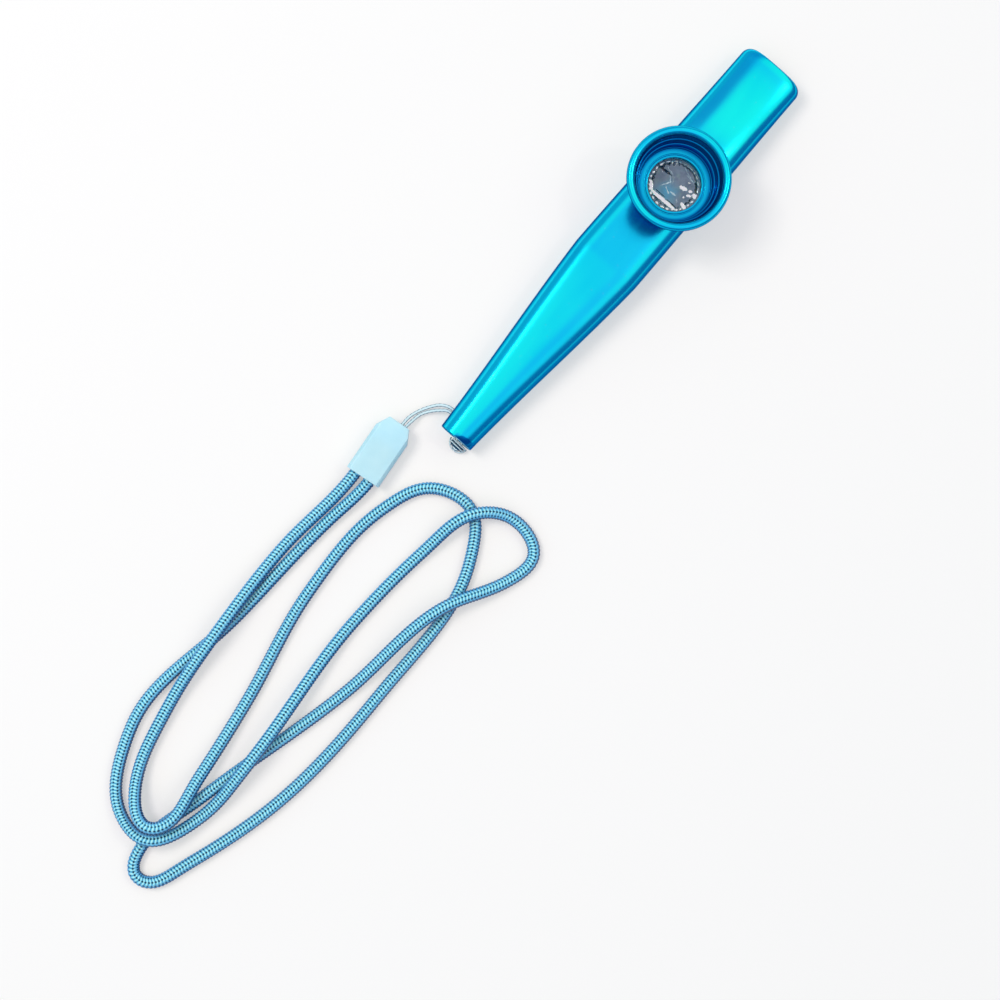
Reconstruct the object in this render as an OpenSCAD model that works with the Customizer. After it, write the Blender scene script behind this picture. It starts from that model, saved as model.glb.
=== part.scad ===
// A kazoo: a lofted metal tube, a resonator cup that screws down over a film, and a wrist cord on the narrow end.
// X runs along the tube to the mouthpiece and Z is up. The tube lies on z = 0, centred on x = 0 and y = 0.

/* [Tube] */
// Length of the tube, from the narrow mouth to the mouthpiece
tube_length = 120; // [110:1:130]
// Distance from the narrow mouth to the widest place
belly_from_mouth = 56; // [50:1:60]
// Thickness of the tube's wall
tube_wall = 0.8; // [0.6:0.05:1]
// Width of the tube at its widest place
belly_width = 18.6; // [18:0.1:20]
// Height of the tube along its middle, where the cup stands
belly_height = 12; // [11:0.1:13]
// Width of the narrow mouth
mouth_width = 9.3; // [8.8:0.1:11]
// Height of the narrow mouth
mouth_height = 8.6; // [8.2:0.1:10]
// Width of the mouthpiece
mouthpiece_width = 17.4; // [16.6:0.1:18.4]
// Height of the mouthpiece
mouthpiece_height = 8; // [7:0.1:9]
// How far the underside rises to the narrow mouth
mouth_rise = 0.6; // [0.2:0.1:1.2]
// How far the underside rises to the mouthpiece
mouthpiece_rise = 0.8; // [0.2:0.1:1.2]
// Radius of the mouthpiece's two corners, seen from above
corner_radius = 2.3; // [1.5:0.1:3]
// How far the mouthpiece's edge is rounded over in height
lip_round = 0.4; // [0.2:0.1:0.8]
// Bore of the hole in the side wall for the thin loop
loop_hole_d = 2.4; // [2:0.1:2.8]
// Distance from the narrow mouth to that hole
loop_hole_from_mouth = 4.5; // [4.2:0.1:5]

/* [Turret] */
// Distance from the mouthpiece to the axis of the cup
cup_from_mouthpiece = 39.6; // [36:0.1:43]
// Outer diameter of the turret
turret_d = 16.6; // [16:0.1:17]
// Wall of the turret round its threaded bore
turret_wall = 0.8; // [0.6:0.05:1]
// How far the turret stands up from the tube
turret_rise = 1.6; // [1.2:0.1:2.2]
// How far the turret reaches down from the tube's top
turret_depth = 2.5; // [2.2:0.1:2.8]
// Width of the ledge that the film's hoop rests on
ledge_width = 1.3; // [0.9:0.1:1.6]
// Thickness of that ledge
ledge_thickness = 1.2; // [0.8:0.1:1.4]

/* [Film] */
// Width of the hoop that the film is stretched on
hoop_width = 0.8; // [0.5:0.1:1]
// Thickness of the hoop
hoop_thickness = 0.5; // [0.3:0.05:0.6]
// Thickness of the film's solid, thicker than the real film so that it has a volume
film_thickness = 0.15; // [0.1:0.01:0.2]
// Thickness of the ring between the film and the cup's neck
slip_ring_thickness = 0.5; // [0.3:0.05:0.6]

/* [Cup] */
// Outer diameter of the cup over its lip
cup_d = 25; // [24:0.1:27]
// Height of the cup's lip above the surface that the kazoo lies on
cup_top = 24.6; // [23:0.1:27]
// Outer diameter of the cup's foot, over the turret
foot_d = 19.2; // [18.6:0.1:20]
// Height of the straight foot below the flare
foot_height = 3.2; // [2.5:0.1:4]
// Radius of the rolled lip
lip_radius = 1; // [0.8:0.05:1.2]
// Bore through the cup's floor and neck
cup_bore_d = 13; // [12:0.1:13.4]
// Thickness of the cup's floor
floor_thickness = 0.9; // [0.6:0.1:1.2]
// Diameter of the recess in the floor
recess_d = 17.4; // [16.8:0.1:17.8]
// Depth of that recess
recess_depth = 0.8; // [0.4:0.1:1.2]
// Thickness of the cup's flared wall
cup_wall = 0.8; // [0.6:0.05:0.9]
// Width of the two steps in the cup's inner wall
step_width = 0.3; // [0.15:0.05:0.4]

/* [Sleeve] */
// Distance from the tube's narrow mouth to the sleeve
sleeve_from_mouth = 6; // [5:0.5:8]
// Distance of the sleeve's open end from the tube's middle plane
sleeve_offset = 11; // [10.5:0.1:11.5]
// Turn of the sleeve from the tube's direction, in degrees
sleeve_turn = 6.5; // [5:0.5:8]
// Length of the sleeve
sleeve_length = 16; // [14:0.5:20]
// Width of the sleeve
sleeve_width = 9.2; // [9:0.1:11]
// Height of the sleeve
sleeve_height = 5.6; // [5.4:0.1:7]
// Width of the sleeve's narrowed end
sleeve_nose_width = 5.6; // [5:0.1:6.5]
// Length over which the sleeve narrows
sleeve_nose_length = 3.4; // [2:0.1:5]
// Bevel along the sleeve's long edges
sleeve_bevel = 1; // [0.5:0.1:1.2]
// Length of the crimp in the sleeve
crimp_length = 8.5; // [6:0.5:9]
// Thickness of the crimp's metal
crimp_wall = 0.35; // [0.25:0.05:0.4]

/* [Cords] */
// Diameter of the braided wrist cord
cord_d = 3.1; // [2.6:0.1:3.1]
// Diameter of the thin loop's cord
loop_d = 0.8; // [0.6:0.05:0.8]
// Length of the stopper knot, across the narrow mouth
knot_length = 5.4; // [4:0.1:6]
// Diameter of the stopper knot
knot_d = 2.7; // [2.2:0.1:2.7]

/* [Hidden] */

// Overrun of every cut past the face that it opens
cut = 1;
// Radial clearance between a seated round piece and its bore
seat_clearance = 0.3;
// Radial clearance of the screw thread
thread_clearance = 0.2;
// Gap that stays open between the cup's shoulder and the turret, so that the neck clamps the film
shoulder_gap = 0.2;
// Clearance round a cord where it passes through a hole
cord_clearance = 0.1;
// Gap between the tube's mouth and the knot
knot_gap = 0.2;
// Chamfer on the turret's mouth and the neck's end
small_chamfer = 0.2;

// Fullness of the tube's section: 2 is an ellipse, and more is squarer
mouth_fullness = 2.2;
belly_fullness = 3.3;
mouthpiece_fullness = 3;
// Share of the section's half height at which its underside is cut flat
flat_share = 0.97;
// Share of an eased curve in the tube's taper, the rest being straight
taper_ease_share = 0.3;
// Sections along the tube, sections round the mouthpiece's corners, and points round a section
tube_steps = 32;
corner_steps = 5;
section_points = 44;

mouth_x = -tube_length / 2;
mouthpiece_x = tube_length / 2;
belly_x = mouth_x + belly_from_mouth;
cup_x = mouthpiece_x - cup_from_mouthpiece;
// The tube keeps its full height until the turret is passed
shoulder_x = cup_x + turret_d / 2 + corner_radius;
loop_hole_x = mouth_x + loop_hole_from_mouth;

turret_top = belly_height + turret_rise;
turret_bottom = belly_height - turret_depth;
turret_bore_d = turret_d - 2 * turret_wall;
ledge_top = turret_bottom + ledge_thickness;
seat_d = turret_bore_d - 2 * seat_clearance;
film_bottom = ledge_top + hoop_thickness;
slip_ring_bottom = film_bottom + film_thickness;
neck_bottom = slip_ring_bottom + slip_ring_thickness;
neck_d = turret_bore_d - 2 * thread_clearance;
foot_bottom = turret_top + shoulder_gap;
floor_top = foot_bottom + floor_thickness;
recess_top = floor_top + recess_depth;
foot_top = foot_bottom + foot_height;
lip_z = cup_top - lip_radius;
lip_r = cup_d / 2 - lip_radius;

// Steps of the cup's inner wall: shares of the way up from the recess to the lip, and of the wall's thickness
step_height_shares = [0.4, 0.78];
step_wall_shares = [0.75, 1.2];
// Points along the cup's outer flare, and degrees between the points of its lip
flare_steps = 10;
lip_step_angle = 15;
// Directions, seen in section, in which the lip's round ends
lip_outer_angle = -65;
lip_inner_angle = 200;
// Where the flare meets the lip's round, as radius and height
flare_end = [lip_r + lip_radius * cos(lip_outer_angle), lip_z + lip_radius * sin(lip_outer_angle)];

// The sleeve's open end
sleeve_x = mouth_x - sleeve_from_mouth - sleeve_length;
// Direction of the sleeve, and of the cords in it
sleeve_way = [cos(sleeve_turn), sin(sleeve_turn), 0];
// Spacing of the wrist cord's two ends in the sleeve
cord_spacing = 4;
// Spacing of the thin loop's two strands, and how far they lie to one side in the sleeve
strand_spacing = 1;
strand_offset = -1.2;
// Distance from the sleeve's open end to the crimp, and the radius of the crimp's corners
crimp_inset = 1;
crimp_corner = 1.2;
// Clearance round the crimp in the sleeve's pocket
pocket_clearance = 0.1;
pocket_length = crimp_inset + crimp_length + pocket_clearance;
crimp_room_y = cord_spacing + cord_d + 2 * cord_clearance;
crimp_room_z = cord_d + 2 * cord_clearance;
crimp_y = crimp_room_y + 2 * crimp_wall;
crimp_z = crimp_room_z + 2 * crimp_wall;
slot_y = strand_spacing + loop_d + 2 * cord_clearance;
slot_z = loop_d + 2 * cord_clearance;

// Height of the loop's hole above the surface that the kazoo lies on, and the place of the knot
loop_hole_z = 3.1;
knot_x = mouth_x - knot_gap - knot_d / 2;
knot_y = -1.4;
knot_z = 2;

cord_sides = 8;
cord_rings_per_point = 2;
loop_rings_per_point = 1;

// The braided cord's route as it lies on the table, from the sleeve round its loops and back.
// The points of both routes are measured from the middle of the narrow mouth, on the table.
cord_route = [
    [-16.3, 13.7, 2.8], [-22.8, 13, 2.8], [-48, 14.6, 2.5], [-71, 13.3, 5.5], [-96, 10.2, 2.4],
    [-115, 3.9, 3.6], [-119.9, -1, 6.8], [-121, -5.1, 8.8], [-117.6, -8.2, 8.8], [-105, -6.9, 4.4],
    [-82, -3.4, 1.6], [-52, 2.7, 1.6], [-25, 2.3, 1.6], [-13.2, -2.6, 1.6], [-10.2, -15, 1.6],
    [-19.5, -22, 1.6], [-60, -27, 1.6], [-98, -25.1, 1.6], [-124, -17.7, 1.6], [-131.9, -14.7, 1.6],
    [-132.8, -9.4, 1.6], [-126.4, -7, 1.6], [-108, -10.3, 1.6], [-65, -20.3, 1.6], [-32.3, -25, 5.2],
    [-18, -32.8, 1.8], [-9.3, -34.5, 1.6], [-5.4, -23, 2.2], [-11.1, -15.1, 5.1], [-26, -12.2, 1.8],
    [-51, -10.5, 1.6], [-94, -13.7, 5.6], [-110, -13.7, 2.4], [-123.9, -6.7, 5.6], [-123, 2.5, 1.9],
    [-105, 14.1, 1.6], [-68, 12, 1.6], [-35, 10.4, 1.7], [-22.3, 9, 2.8], [-15.8, 9.7, 2.8]
];
// The thin loop's route, from the sleeve through the side hole to the knot and back
loop_route = [
    [-15.6, 11, 2.8], [-11, 11.5, 2.8], [-6, 12.1, 2.8], [-3.5, 12.1, 2.1], [-0.8, 11.3, 1.5],
    [1.8, 9.9, 1.7], [4, 8, 2.5], [4.9, 6, 3.1], [4.9, 4.2, 3.1], [4.4, 2.2, 2.8],
    [3, 0.2, 2.5], [1, -1.3, 2.2], [-1, -2.2, 2], [-1.9, -1.9, 2], [-2, -1.2, 2],
    [-1.2, -0.8, 2.1], [0, -0.4, 2.3], [2, 0.9, 2.6], [3.4, 2.6, 2.9], [4, 4.2, 3.1],
    [4, 5.6, 3.1], [2.8, 7.4, 2.4], [1.2, 9, 1.6], [-1, 10.4, 1.4], [-3.7, 10.9, 2.1],
    [-5.9, 11.1, 2.8], [-10.9, 10.6, 2.8], [-15.5, 10, 2.8]
];

// Between two values, by a share from 0 to 1
function mix(from, to, share) = from + (to - from) * share;

// A share that starts and ends gently
function ease(share) = share * share * (3 - 2 * share);

// A share held between 0 and 1
function held(share) = min(1, max(0, share));

// How far the tube has grown from the narrow mouth, 0, to the belly, 1
function growth(x) =
    let (share = held((x - mouth_x) / (belly_x - mouth_x)))
    mix(share, ease(share), taper_ease_share);

// How far the tube has changed from the belly, 0, to the mouthpiece, 1, starting at a given x
function narrowing(x, start) = ease(held((x - start) / (mouthpiece_x - start)));

function tube_width(x) =
    x < belly_x ? mix(mouth_width, belly_width, growth(x))
                : mix(belly_width, mouthpiece_width, narrowing(x, belly_x));

function tube_height(x) =
    x < belly_x ? mix(mouth_height, belly_height, growth(x))
                : mix(belly_height, mouthpiece_height, narrowing(x, shoulder_x));

function tube_bottom(x) = mouth_rise * (1 - ease(growth(x))) + mouthpiece_rise * narrowing(x, shoulder_x);

function fullness(x) =
    x < belly_x ? mix(mouth_fullness, belly_fullness, growth(x))
                : mix(belly_fullness, mouthpiece_fullness, narrowing(x, shoulder_x));

// A superellipse's coordinate for a sine or cosine
function squared_off(value, power) = sign(value) * pow(abs(value), 2 / power);

// One section of the tube: shrink is the wall for the inner surface, and turn is 0 to 90 round the corner
function tube_section(x, turn, shrink) =
    let (
        half_y = tube_width(x) / 2 - corner_radius * (1 - cos(turn)) - shrink,
        outer_z = tube_height(x) / (1 + flat_share),
        middle = tube_bottom(x) + flat_share * outer_z,
        half_z = outer_z - lip_round * (1 - cos(turn)) - shrink,
        floor_z = -flat_share * outer_z + lip_round * (1 - cos(turn)) + shrink
    )
    [for (i = [0 : section_points - 1])
        let (angle = 360 * i / section_points)
        [x, half_y * squared_off(cos(angle), fullness(x)),
         middle + max(floor_z, half_z * squared_off(sin(angle), fullness(x)))]];

// Each station of the tube is its x and its turn round the mouthpiece's corner
straight_end = mouthpiece_x - corner_radius;
tube_stations = concat(
    [for (i = [0 : tube_steps]) [mix(mouth_x, straight_end, i / tube_steps), 0]],
    [for (i = [1 : corner_steps])
        let (turn = 90 * i / corner_steps)
        [straight_end + corner_radius * sin(turn), turn]]
);

// Triangles between ring a and ring b of a surface, whose rings follow one another in the list of points
function band(a, b, count) =
    [for (i = [0 : count - 1])
        let (next = (i + 1) % count)
        each [[a * count + i, b * count + i, b * count + next], [a * count + i, b * count + next, a * count + next]]];

// The hollow tube as one closed surface: outer rings, then inner rings, then back to the first
module tube() {
    outer = [for (s = tube_stations) each tube_section(s[0], s[1], 0)];
    inner = [for (i = [len(tube_stations) - 1 : -1 : 0])
        each tube_section(tube_stations[i][0], tube_stations[i][1], tube_wall)];
    rings = 2 * len(tube_stations);
    polyhedron(
        points = concat(outer, inner),
        faces = [for (r = [0 : rings - 1]) each band(r, (r + 1) % rings, section_points)],
        convexity = 6
    );
}

// Tangent of a route at one of its points; each end lies along the sleeve, in the given direction
function route_tangent(points, i, start_way) =
    i == 0 ? start_way :
    i == len(points) - 1 ? -start_way :
    let (
        before = points[i] - points[i - 1],
        after = points[i + 1] - points[i]
    )
    (before * norm(after) / norm(before) + after * norm(before) / norm(after)) / (norm(before) + norm(after));

// A place on the smooth curve through a route, from point i by a share of the way to the next
function route_place(points, i, share, start_way) =
    let (
        step = norm(points[i + 1] - points[i]),
        square = share * share,
        cube = square * share
    )
    (2 * cube - 3 * square + 1) * points[i] + (cube - 2 * square + share) * step * route_tangent(points, i, start_way)
    + (3 * square - 2 * cube) * points[i + 1] + (cube - square) * step * route_tangent(points, i + 1, start_way);

// The places of a tube's rings, none lower than the tube lying on the table
function route_rings(points, per_point, radius, start_way) =
    let (
        places = concat(
            [for (i = [0 : len(points) - 2], k = [0 : per_point - 1])
                route_place(points, i, k / per_point, start_way)],
            [points[len(points) - 1]]
        )
    )
    [for (p = places) [p[0], p[1], max(p[2], radius)]];

function unit(v) = v / norm(v);

// A ring of a tube round a place, square to its heading
function cord_ring(place, heading, radius) =
    let (
        side = unit(cross([0, 0, 1], heading)),
        up = cross(heading, side)
    )
    [for (i = [0 : cord_sides - 1])
        let (angle = 360 * (i + 1 / 2) / cord_sides)
        place + radius * (cos(angle) * side + sin(angle) * up)];

// A cord swept along its route, with flat ends; start_way is its heading at the start
module swept_cord(route, per_point, diameter, start_way) {
    places = route_rings(route, per_point, diameter / 2, start_way);
    last = len(places) - 1;
    rings = [for (i = [0 : last])
        let (
            heading = i == 0 ? start_way :
                      i == last ? -start_way :
                      unit(unit(places[i] - places[i - 1]) + unit(places[i + 1] - places[i]))
        )
        each cord_ring(places[i], heading, diameter / 2)];
    polyhedron(
        points = rings,
        faces = concat(
            [for (r = [0 : last - 1]) each band(r, r + 1, cord_sides)],
            [[for (i = [0 : cord_sides - 1]) i]],
            [[for (i = [cord_sides - 1 : -1 : 0]) last * cord_sides + i]]
        ),
        convexity = 10
    );
}

// A ring by its bottom, height and two diameters
module flat_ring(bottom, height, outer_d, inner_d) {
    translate([cup_x, 0, bottom])
        difference() {
            cylinder(h = height, d = outer_d, $fn = 96);
            translate([0, 0, -cut])
                cylinder(h = height + 2 * cut, d = inner_d, $fn = 96);
        }
}

// Places pieces in the sleeve's own frame: x runs from its open end to its nose, and its middle is y = 0
module in_sleeve() {
    translate([sleeve_x, sleeve_offset, 0])
        rotate([0, 0, sleeve_turn])
            children();
}

// A section across the sleeve, drawn round its middle and stretched along it from a given start
module along_sleeve(start, length) {
    translate([start, 0, sleeve_height / 2])
        rotate([90, 0, 90])
            linear_extrude(height = length)
                children();
}

module rounded_rectangle(width, height, corner) {
    half_w = width / 2 - corner;
    half_h = height / 2 - corner;
    square([width, 2 * half_h], center = true);
    square([2 * half_w, height], center = true);
    for (x = [-half_w, half_w], y = [-half_h, half_h])
        translate([x, y])
            circle(r = corner, $fn = 32);
}

module body_shell() {
    color([0.05, 0.62, 0.86])
        difference() {
            tube();
            // Seat of the turret
            translate([cup_x, 0, turret_bottom])
                cylinder(h = turret_depth + cut, d = turret_d, $fn = 96);
            // Hole for the thin loop, in one side wall
            translate([loop_hole_x, 0, loop_hole_z])
                rotate([-90, 0, 0])
                    cylinder(h = belly_width, d = loop_hole_d, $fn = 48);
        }
}

module turret() {
    outer_r = turret_d / 2;
    bore_r = turret_bore_d / 2;
    ledge_r = bore_r - ledge_width;
    color([0.05, 0.55, 0.8])
        translate([cup_x, 0, 0])
            rotate_extrude($fn = 96)
                polygon([
                    [ledge_r, turret_bottom], [outer_r, turret_bottom],
                    [outer_r, turret_top - small_chamfer], [outer_r - small_chamfer, turret_top],
                    [bore_r + small_chamfer, turret_top], [bore_r, turret_top - small_chamfer],
                    [bore_r, ledge_top], [ledge_r, ledge_top]
                ]);
}

module membrane_hoop() {
    color([0.85, 0.88, 0.9])
        flat_ring(ledge_top, hoop_thickness, seat_d, seat_d - 2 * hoop_width);
}

module membrane_film() {
    color([0.8, 0.85, 0.9, 0.5])
        translate([cup_x, 0, film_bottom])
            cylinder(h = film_thickness, d = seat_d, $fn = 96);
}

module slip_ring() {
    color([0.75, 0.78, 0.8])
        flat_ring(slip_ring_bottom, slip_ring_thickness, seat_d, cup_bore_d);
}

// Radius of the cup's outside at a height between its foot and its lip
function flare_r(z) =
    let (share = held((z - foot_top) / (flare_end[1] - foot_top)))
    mix(foot_d / 2, flare_end[0], share * share);

module cap() {
    neck_r = neck_d / 2;
    bore_r = cup_bore_d / 2;
    foot_r = foot_d / 2;
    recess_r = recess_d / 2;
    // Outside of the flare: it leaves the foot upright and meets the lip's round
    flare = [for (i = [0 : flare_steps])
        let (z = mix(foot_top, flare_end[1], i / flare_steps))
        [flare_r(z), z]];
    lip = [for (angle = [lip_outer_angle + lip_step_angle : lip_step_angle : lip_inner_angle])
        [lip_r + lip_radius * cos(angle), lip_z + lip_radius * sin(angle)]];
    lip_inner_r = lip_r - lip_radius;
    lip_inner_z = lip_z - lip_radius;
    steps = [for (i = [len(step_height_shares) - 1 : -1 : 0])
        let (
            z = mix(recess_top, lip_inner_z, step_height_shares[i]),
            r = flare_r(z) - cup_wall * step_wall_shares[i]
        )
        each [[r + step_width / 2, z], [r - step_width / 2, z]]];
    color([0.05, 0.62, 0.86])
        translate([cup_x, 0, 0])
            rotate_extrude($fn = 96)
                polygon(concat(
                    [[bore_r, neck_bottom], [neck_r - small_chamfer, neck_bottom],
                     [neck_r, neck_bottom + small_chamfer], [neck_r, foot_bottom], [foot_r, foot_bottom]],
                    flare, lip, [[lip_inner_r, lip_inner_z]], steps,
                    [[recess_r, recess_top], [recess_r, floor_top], [bore_r, floor_top]]
                ));
}

module thin_loop() {
    color([0.75, 0.93, 0.97])
        translate([mouth_x, 0, 0])
            swept_cord(loop_route, loop_rings_per_point, loop_d, sleeve_way);
}

module loop_knot() {
    straight = knot_length - knot_d;
    color([0.75, 0.93, 0.97])
        translate([knot_x, knot_y, knot_z])
            rotate([90, 0, 0]) {
                cylinder(h = straight, d = knot_d, center = true, $fn = 48);
                for (end = [-1, 1])
                    translate([0, 0, end * straight / 2])
                        sphere(d = knot_d, $fn = 48);
            }
}

module sleeve() {
    nose_x = sleeve_length - sleeve_nose_length;
    half_w = sleeve_width / 2;
    half_h = sleeve_height / 2;
    half_nose = sleeve_nose_width / 2;
    color([0.75, 0.91, 0.97])
        in_sleeve()
            difference() {
                intersection() {
                    // Outline from above: straight sides and a narrowed end
                    linear_extrude(height = sleeve_height)
                        polygon([
                            [0, -half_w], [nose_x, -half_w], [sleeve_length, -half_nose],
                            [sleeve_length, half_nose], [nose_x, half_w], [0, half_w]
                        ]);
                    // Section across: long edges bevelled
                    along_sleeve(0, sleeve_length)
                        polygon([
                            [-half_w, sleeve_bevel - half_h], [sleeve_bevel - half_w, -half_h],
                            [half_w - sleeve_bevel, -half_h], [half_w, sleeve_bevel - half_h],
                            [half_w, half_h - sleeve_bevel], [half_w - sleeve_bevel, half_h],
                            [sleeve_bevel - half_w, half_h], [-half_w, half_h - sleeve_bevel]
                        ]);
                }
                // Pocket for the crimp and the cord's ends
                along_sleeve(-cut, pocket_length + cut)
                    rounded_rectangle(crimp_y + 2 * pocket_clearance, crimp_z + 2 * pocket_clearance, crimp_corner);
                // Slot for the loop's two strands
                along_sleeve(0, sleeve_length + cut)
                    translate([strand_offset, 0])
                        rounded_rectangle(slot_y, slot_z, loop_d / 2);
            }
}

module crimp() {
    color([0.7, 0.72, 0.74])
        in_sleeve()
            along_sleeve(crimp_inset, crimp_length)
                difference() {
                    rounded_rectangle(crimp_y, crimp_z, crimp_corner);
                    rounded_rectangle(crimp_room_y, crimp_room_z, crimp_corner - crimp_wall);
                }
}

module cord() {
    color([0.4, 0.75, 0.9])
        translate([mouth_x, 0, 0])
            swept_cord(cord_route, cord_rings_per_point, cord_d, -sleeve_way);
}

body_shell();
turret();
membrane_hoop();
membrane_film();
slip_ring();
cap();
thin_loop();
loop_knot();
sleeve();
crimp();
cord();
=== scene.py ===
import math

import bmesh
import bpy
import numpy as np
from mathutils import Matrix, Vector, noise


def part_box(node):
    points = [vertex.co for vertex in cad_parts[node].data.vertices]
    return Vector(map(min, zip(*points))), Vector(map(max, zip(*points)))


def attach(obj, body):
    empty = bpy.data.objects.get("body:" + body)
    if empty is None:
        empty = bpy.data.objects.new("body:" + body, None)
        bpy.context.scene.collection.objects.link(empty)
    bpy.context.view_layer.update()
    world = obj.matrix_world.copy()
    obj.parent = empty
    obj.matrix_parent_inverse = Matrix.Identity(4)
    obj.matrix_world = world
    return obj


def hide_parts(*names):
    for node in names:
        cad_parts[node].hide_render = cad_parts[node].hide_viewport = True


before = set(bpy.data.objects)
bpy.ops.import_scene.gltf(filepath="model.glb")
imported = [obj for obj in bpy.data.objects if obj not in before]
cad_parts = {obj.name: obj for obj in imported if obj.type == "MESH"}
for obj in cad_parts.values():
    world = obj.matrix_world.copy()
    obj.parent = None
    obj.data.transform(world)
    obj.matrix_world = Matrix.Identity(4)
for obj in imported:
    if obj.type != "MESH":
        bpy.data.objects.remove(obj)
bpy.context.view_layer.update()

MM = 0.001
TURN = 2 * math.pi
BODY = "kazoo_body"

# ---- numbers


def mix(a, b, share):
    return a + (b - a) * share


def ease(share):
    return share * share * (3 - 2 * share)


def held(share):
    return min(1.0, max(0.0, share))


def eased(value, start, end):
    """0 up to start and 1 from end on, with an easy slope between them; end may be below start."""
    return ease(held((value - start) / (end - start)))


def detail(full):
    return full


def ring_angles(count):
    return np.linspace(0, TURN, count, endpoint=False)


def gaps(points):
    return np.linalg.norm(np.diff(points, axis=0), axis=1)


def distances(points):
    """How far each point lies along the line of points."""
    return np.concatenate([[0], np.cumsum(gaps(points))])


def even_points(points, step):
    """Points a step apart along a line of points."""
    along = distances(points)
    places = np.linspace(0, along[-1], max(2, int(round(along[-1] / step)) + 1))
    return np.stack([np.interp(places, along, points[:, k]) for k in range(3)], -1)


def smoothed(points, passes):
    """A line of points with its kinks evened out; its ends stay."""
    for _ in range(passes):
        points[1:-1] = (points[:-2] + 2 * points[1:-1] + points[2:]) / 4
    return points


# ---- objects and meshes


def add_object(name, data):
    added = bpy.data.objects.new(name, data)
    bpy.context.scene.collection.objects.link(added)
    return added


def link(name, mesh, node, material, body=BODY, smooth_deg=None):
    """Adds a mesh as a piece that rides on a body in place of a CAD node; edges past an angle stay sharp."""
    piece = add_object(name, mesh)
    mesh.validate()
    mesh.shade_smooth()
    if smooth_deg is not None:
        mesh.set_sharp_from_angle(angle=math.radians(smooth_deg))
    mesh.materials.append(material)
    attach(piece, body)
    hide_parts(node)
    return piece


def grid_faces(rows, columns, closed_rows=False):
    """Quads over a grid of points whose columns close on themselves."""
    a = np.arange(rows if closed_rows else rows - 1)
    b = np.arange(columns)
    a, b = np.meshgrid(a, b, indexing="ij")
    a_next = (a + 1) % rows
    b_next = (b + 1) % columns
    corners = ((a, b), (a, b_next), (a_next, b_next), (a_next, b))
    return np.stack([row * columns + column for row, column in corners], -1).reshape(-1, 4)


def quad_mesh(name, points, quads, ends=()):
    """A mesh from arrays: points, quads, and end caps as lists of point numbers."""
    mesh = bpy.data.meshes.new(name)
    points = np.asarray(points, np.float32).reshape(-1, 3)
    quads = np.asarray(quads, np.int32)
    loops = np.concatenate([quads.ravel()] + [np.asarray(e, np.int32) for e in ends])
    sizes = np.concatenate([np.full(len(quads), 4, np.int32)] + [np.array([len(e)], np.int32) for e in ends])
    starts = np.concatenate([[0], np.cumsum(sizes)[:-1]]).astype(np.int32)
    mesh.vertices.add(len(points))
    mesh.vertices.foreach_set("co", points.ravel())
    mesh.loops.add(len(loops))
    mesh.loops.foreach_set("vertex_index", loops)
    mesh.polygons.add(len(sizes))
    mesh.polygons.foreach_set("loop_start", starts)
    mesh.update(calc_edges=True)
    return mesh


def add_shade(mesh, name, values):
    """Stores one number per point for the material to read."""
    attribute = mesh.attributes.new(name, "FLOAT", "POINT")
    attribute.data.foreach_set("value", np.asarray(values, np.float32).ravel())


def lathe(name, profile, axis_x, segments=192):
    """Turns a closed profile of (radius, height) pairs round a vertical axis."""
    angles = ring_angles(segments)
    r = np.array([p[0] for p in profile])[:, None]
    z = np.array([p[1] for p in profile])[:, None]
    points = np.stack([axis_x + r * np.cos(angles), r * np.sin(angles), np.repeat(z, segments, 1)], -1)
    return quad_mesh(name, points, grid_faces(len(profile), segments, True)[:, ::-1])


def arc(centre_a, centre_b, radius, start_deg, end_deg, steps=8):
    """Points of a round in an outline."""
    return [
        (centre_a + radius * math.cos(turn), centre_b + radius * math.sin(turn))
        for turn in map(math.radians, np.linspace(start_deg, end_deg, steps))
    ]


def path_frames(points, upright=(0, 0, 1)):
    """Unit side and up at each point of a path that never runs along upright."""
    heading = np.gradient(points, axis=0)
    heading /= np.linalg.norm(heading, axis=1)[:, None]
    side = np.cross(upright, heading)
    side /= np.linalg.norm(side, axis=1)[:, None]
    return side, np.cross(heading, side)


def tube_grid(points, around):
    """Distance along a path as a column, and angle round it as a row."""
    return distances(points)[:, None], ring_angles(around)[None, :]


def tube_surface(points, angle, radius, upright=(0, 0, 1)):
    """Rings of points round a path, from the radius at each distance and angle."""
    side, up = path_frames(points, upright)
    ring = np.cos(angle)[..., None] * side[:, None] + np.sin(angle)[..., None] * up[:, None]
    return points[:, None] + radius[..., None] * ring


def tube_mesh(name, surfaces):
    """A mesh of one or more tubes with closed ends, each given as its rings."""
    quads, ends, first = [], [], 0
    for surface in surfaces:
        rows, around = surface.shape[:2]
        last = first + (rows - 1) * around
        quads.append(grid_faces(rows, around) + first)
        ends += [[first + i for i in range(around)][::-1], [last + i for i in range(around)]]
        first = last + around
    points = np.concatenate([surface.reshape(-1, 3) for surface in surfaces])
    return quad_mesh(name, points, np.concatenate(quads), ends)


def prism(name, start_ring, end_ring):
    """A closed prism between two rings of as many points."""
    count = len(start_ring)
    faces = [(i, (i + 1) % count, (i + 1) % count + count, i + count) for i in range(count)]
    faces += [tuple(range(count))[::-1], tuple(range(count, 2 * count))]
    mesh = bpy.data.meshes.new(name)
    mesh.from_pydata([tuple(p) for p in start_ring + end_ring], [], faces)
    shape = bmesh.new()
    shape.from_mesh(mesh)
    bmesh.ops.recalc_face_normals(shape, faces=shape.faces)
    shape.to_mesh(mesh)
    shape.free()
    return mesh


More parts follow.
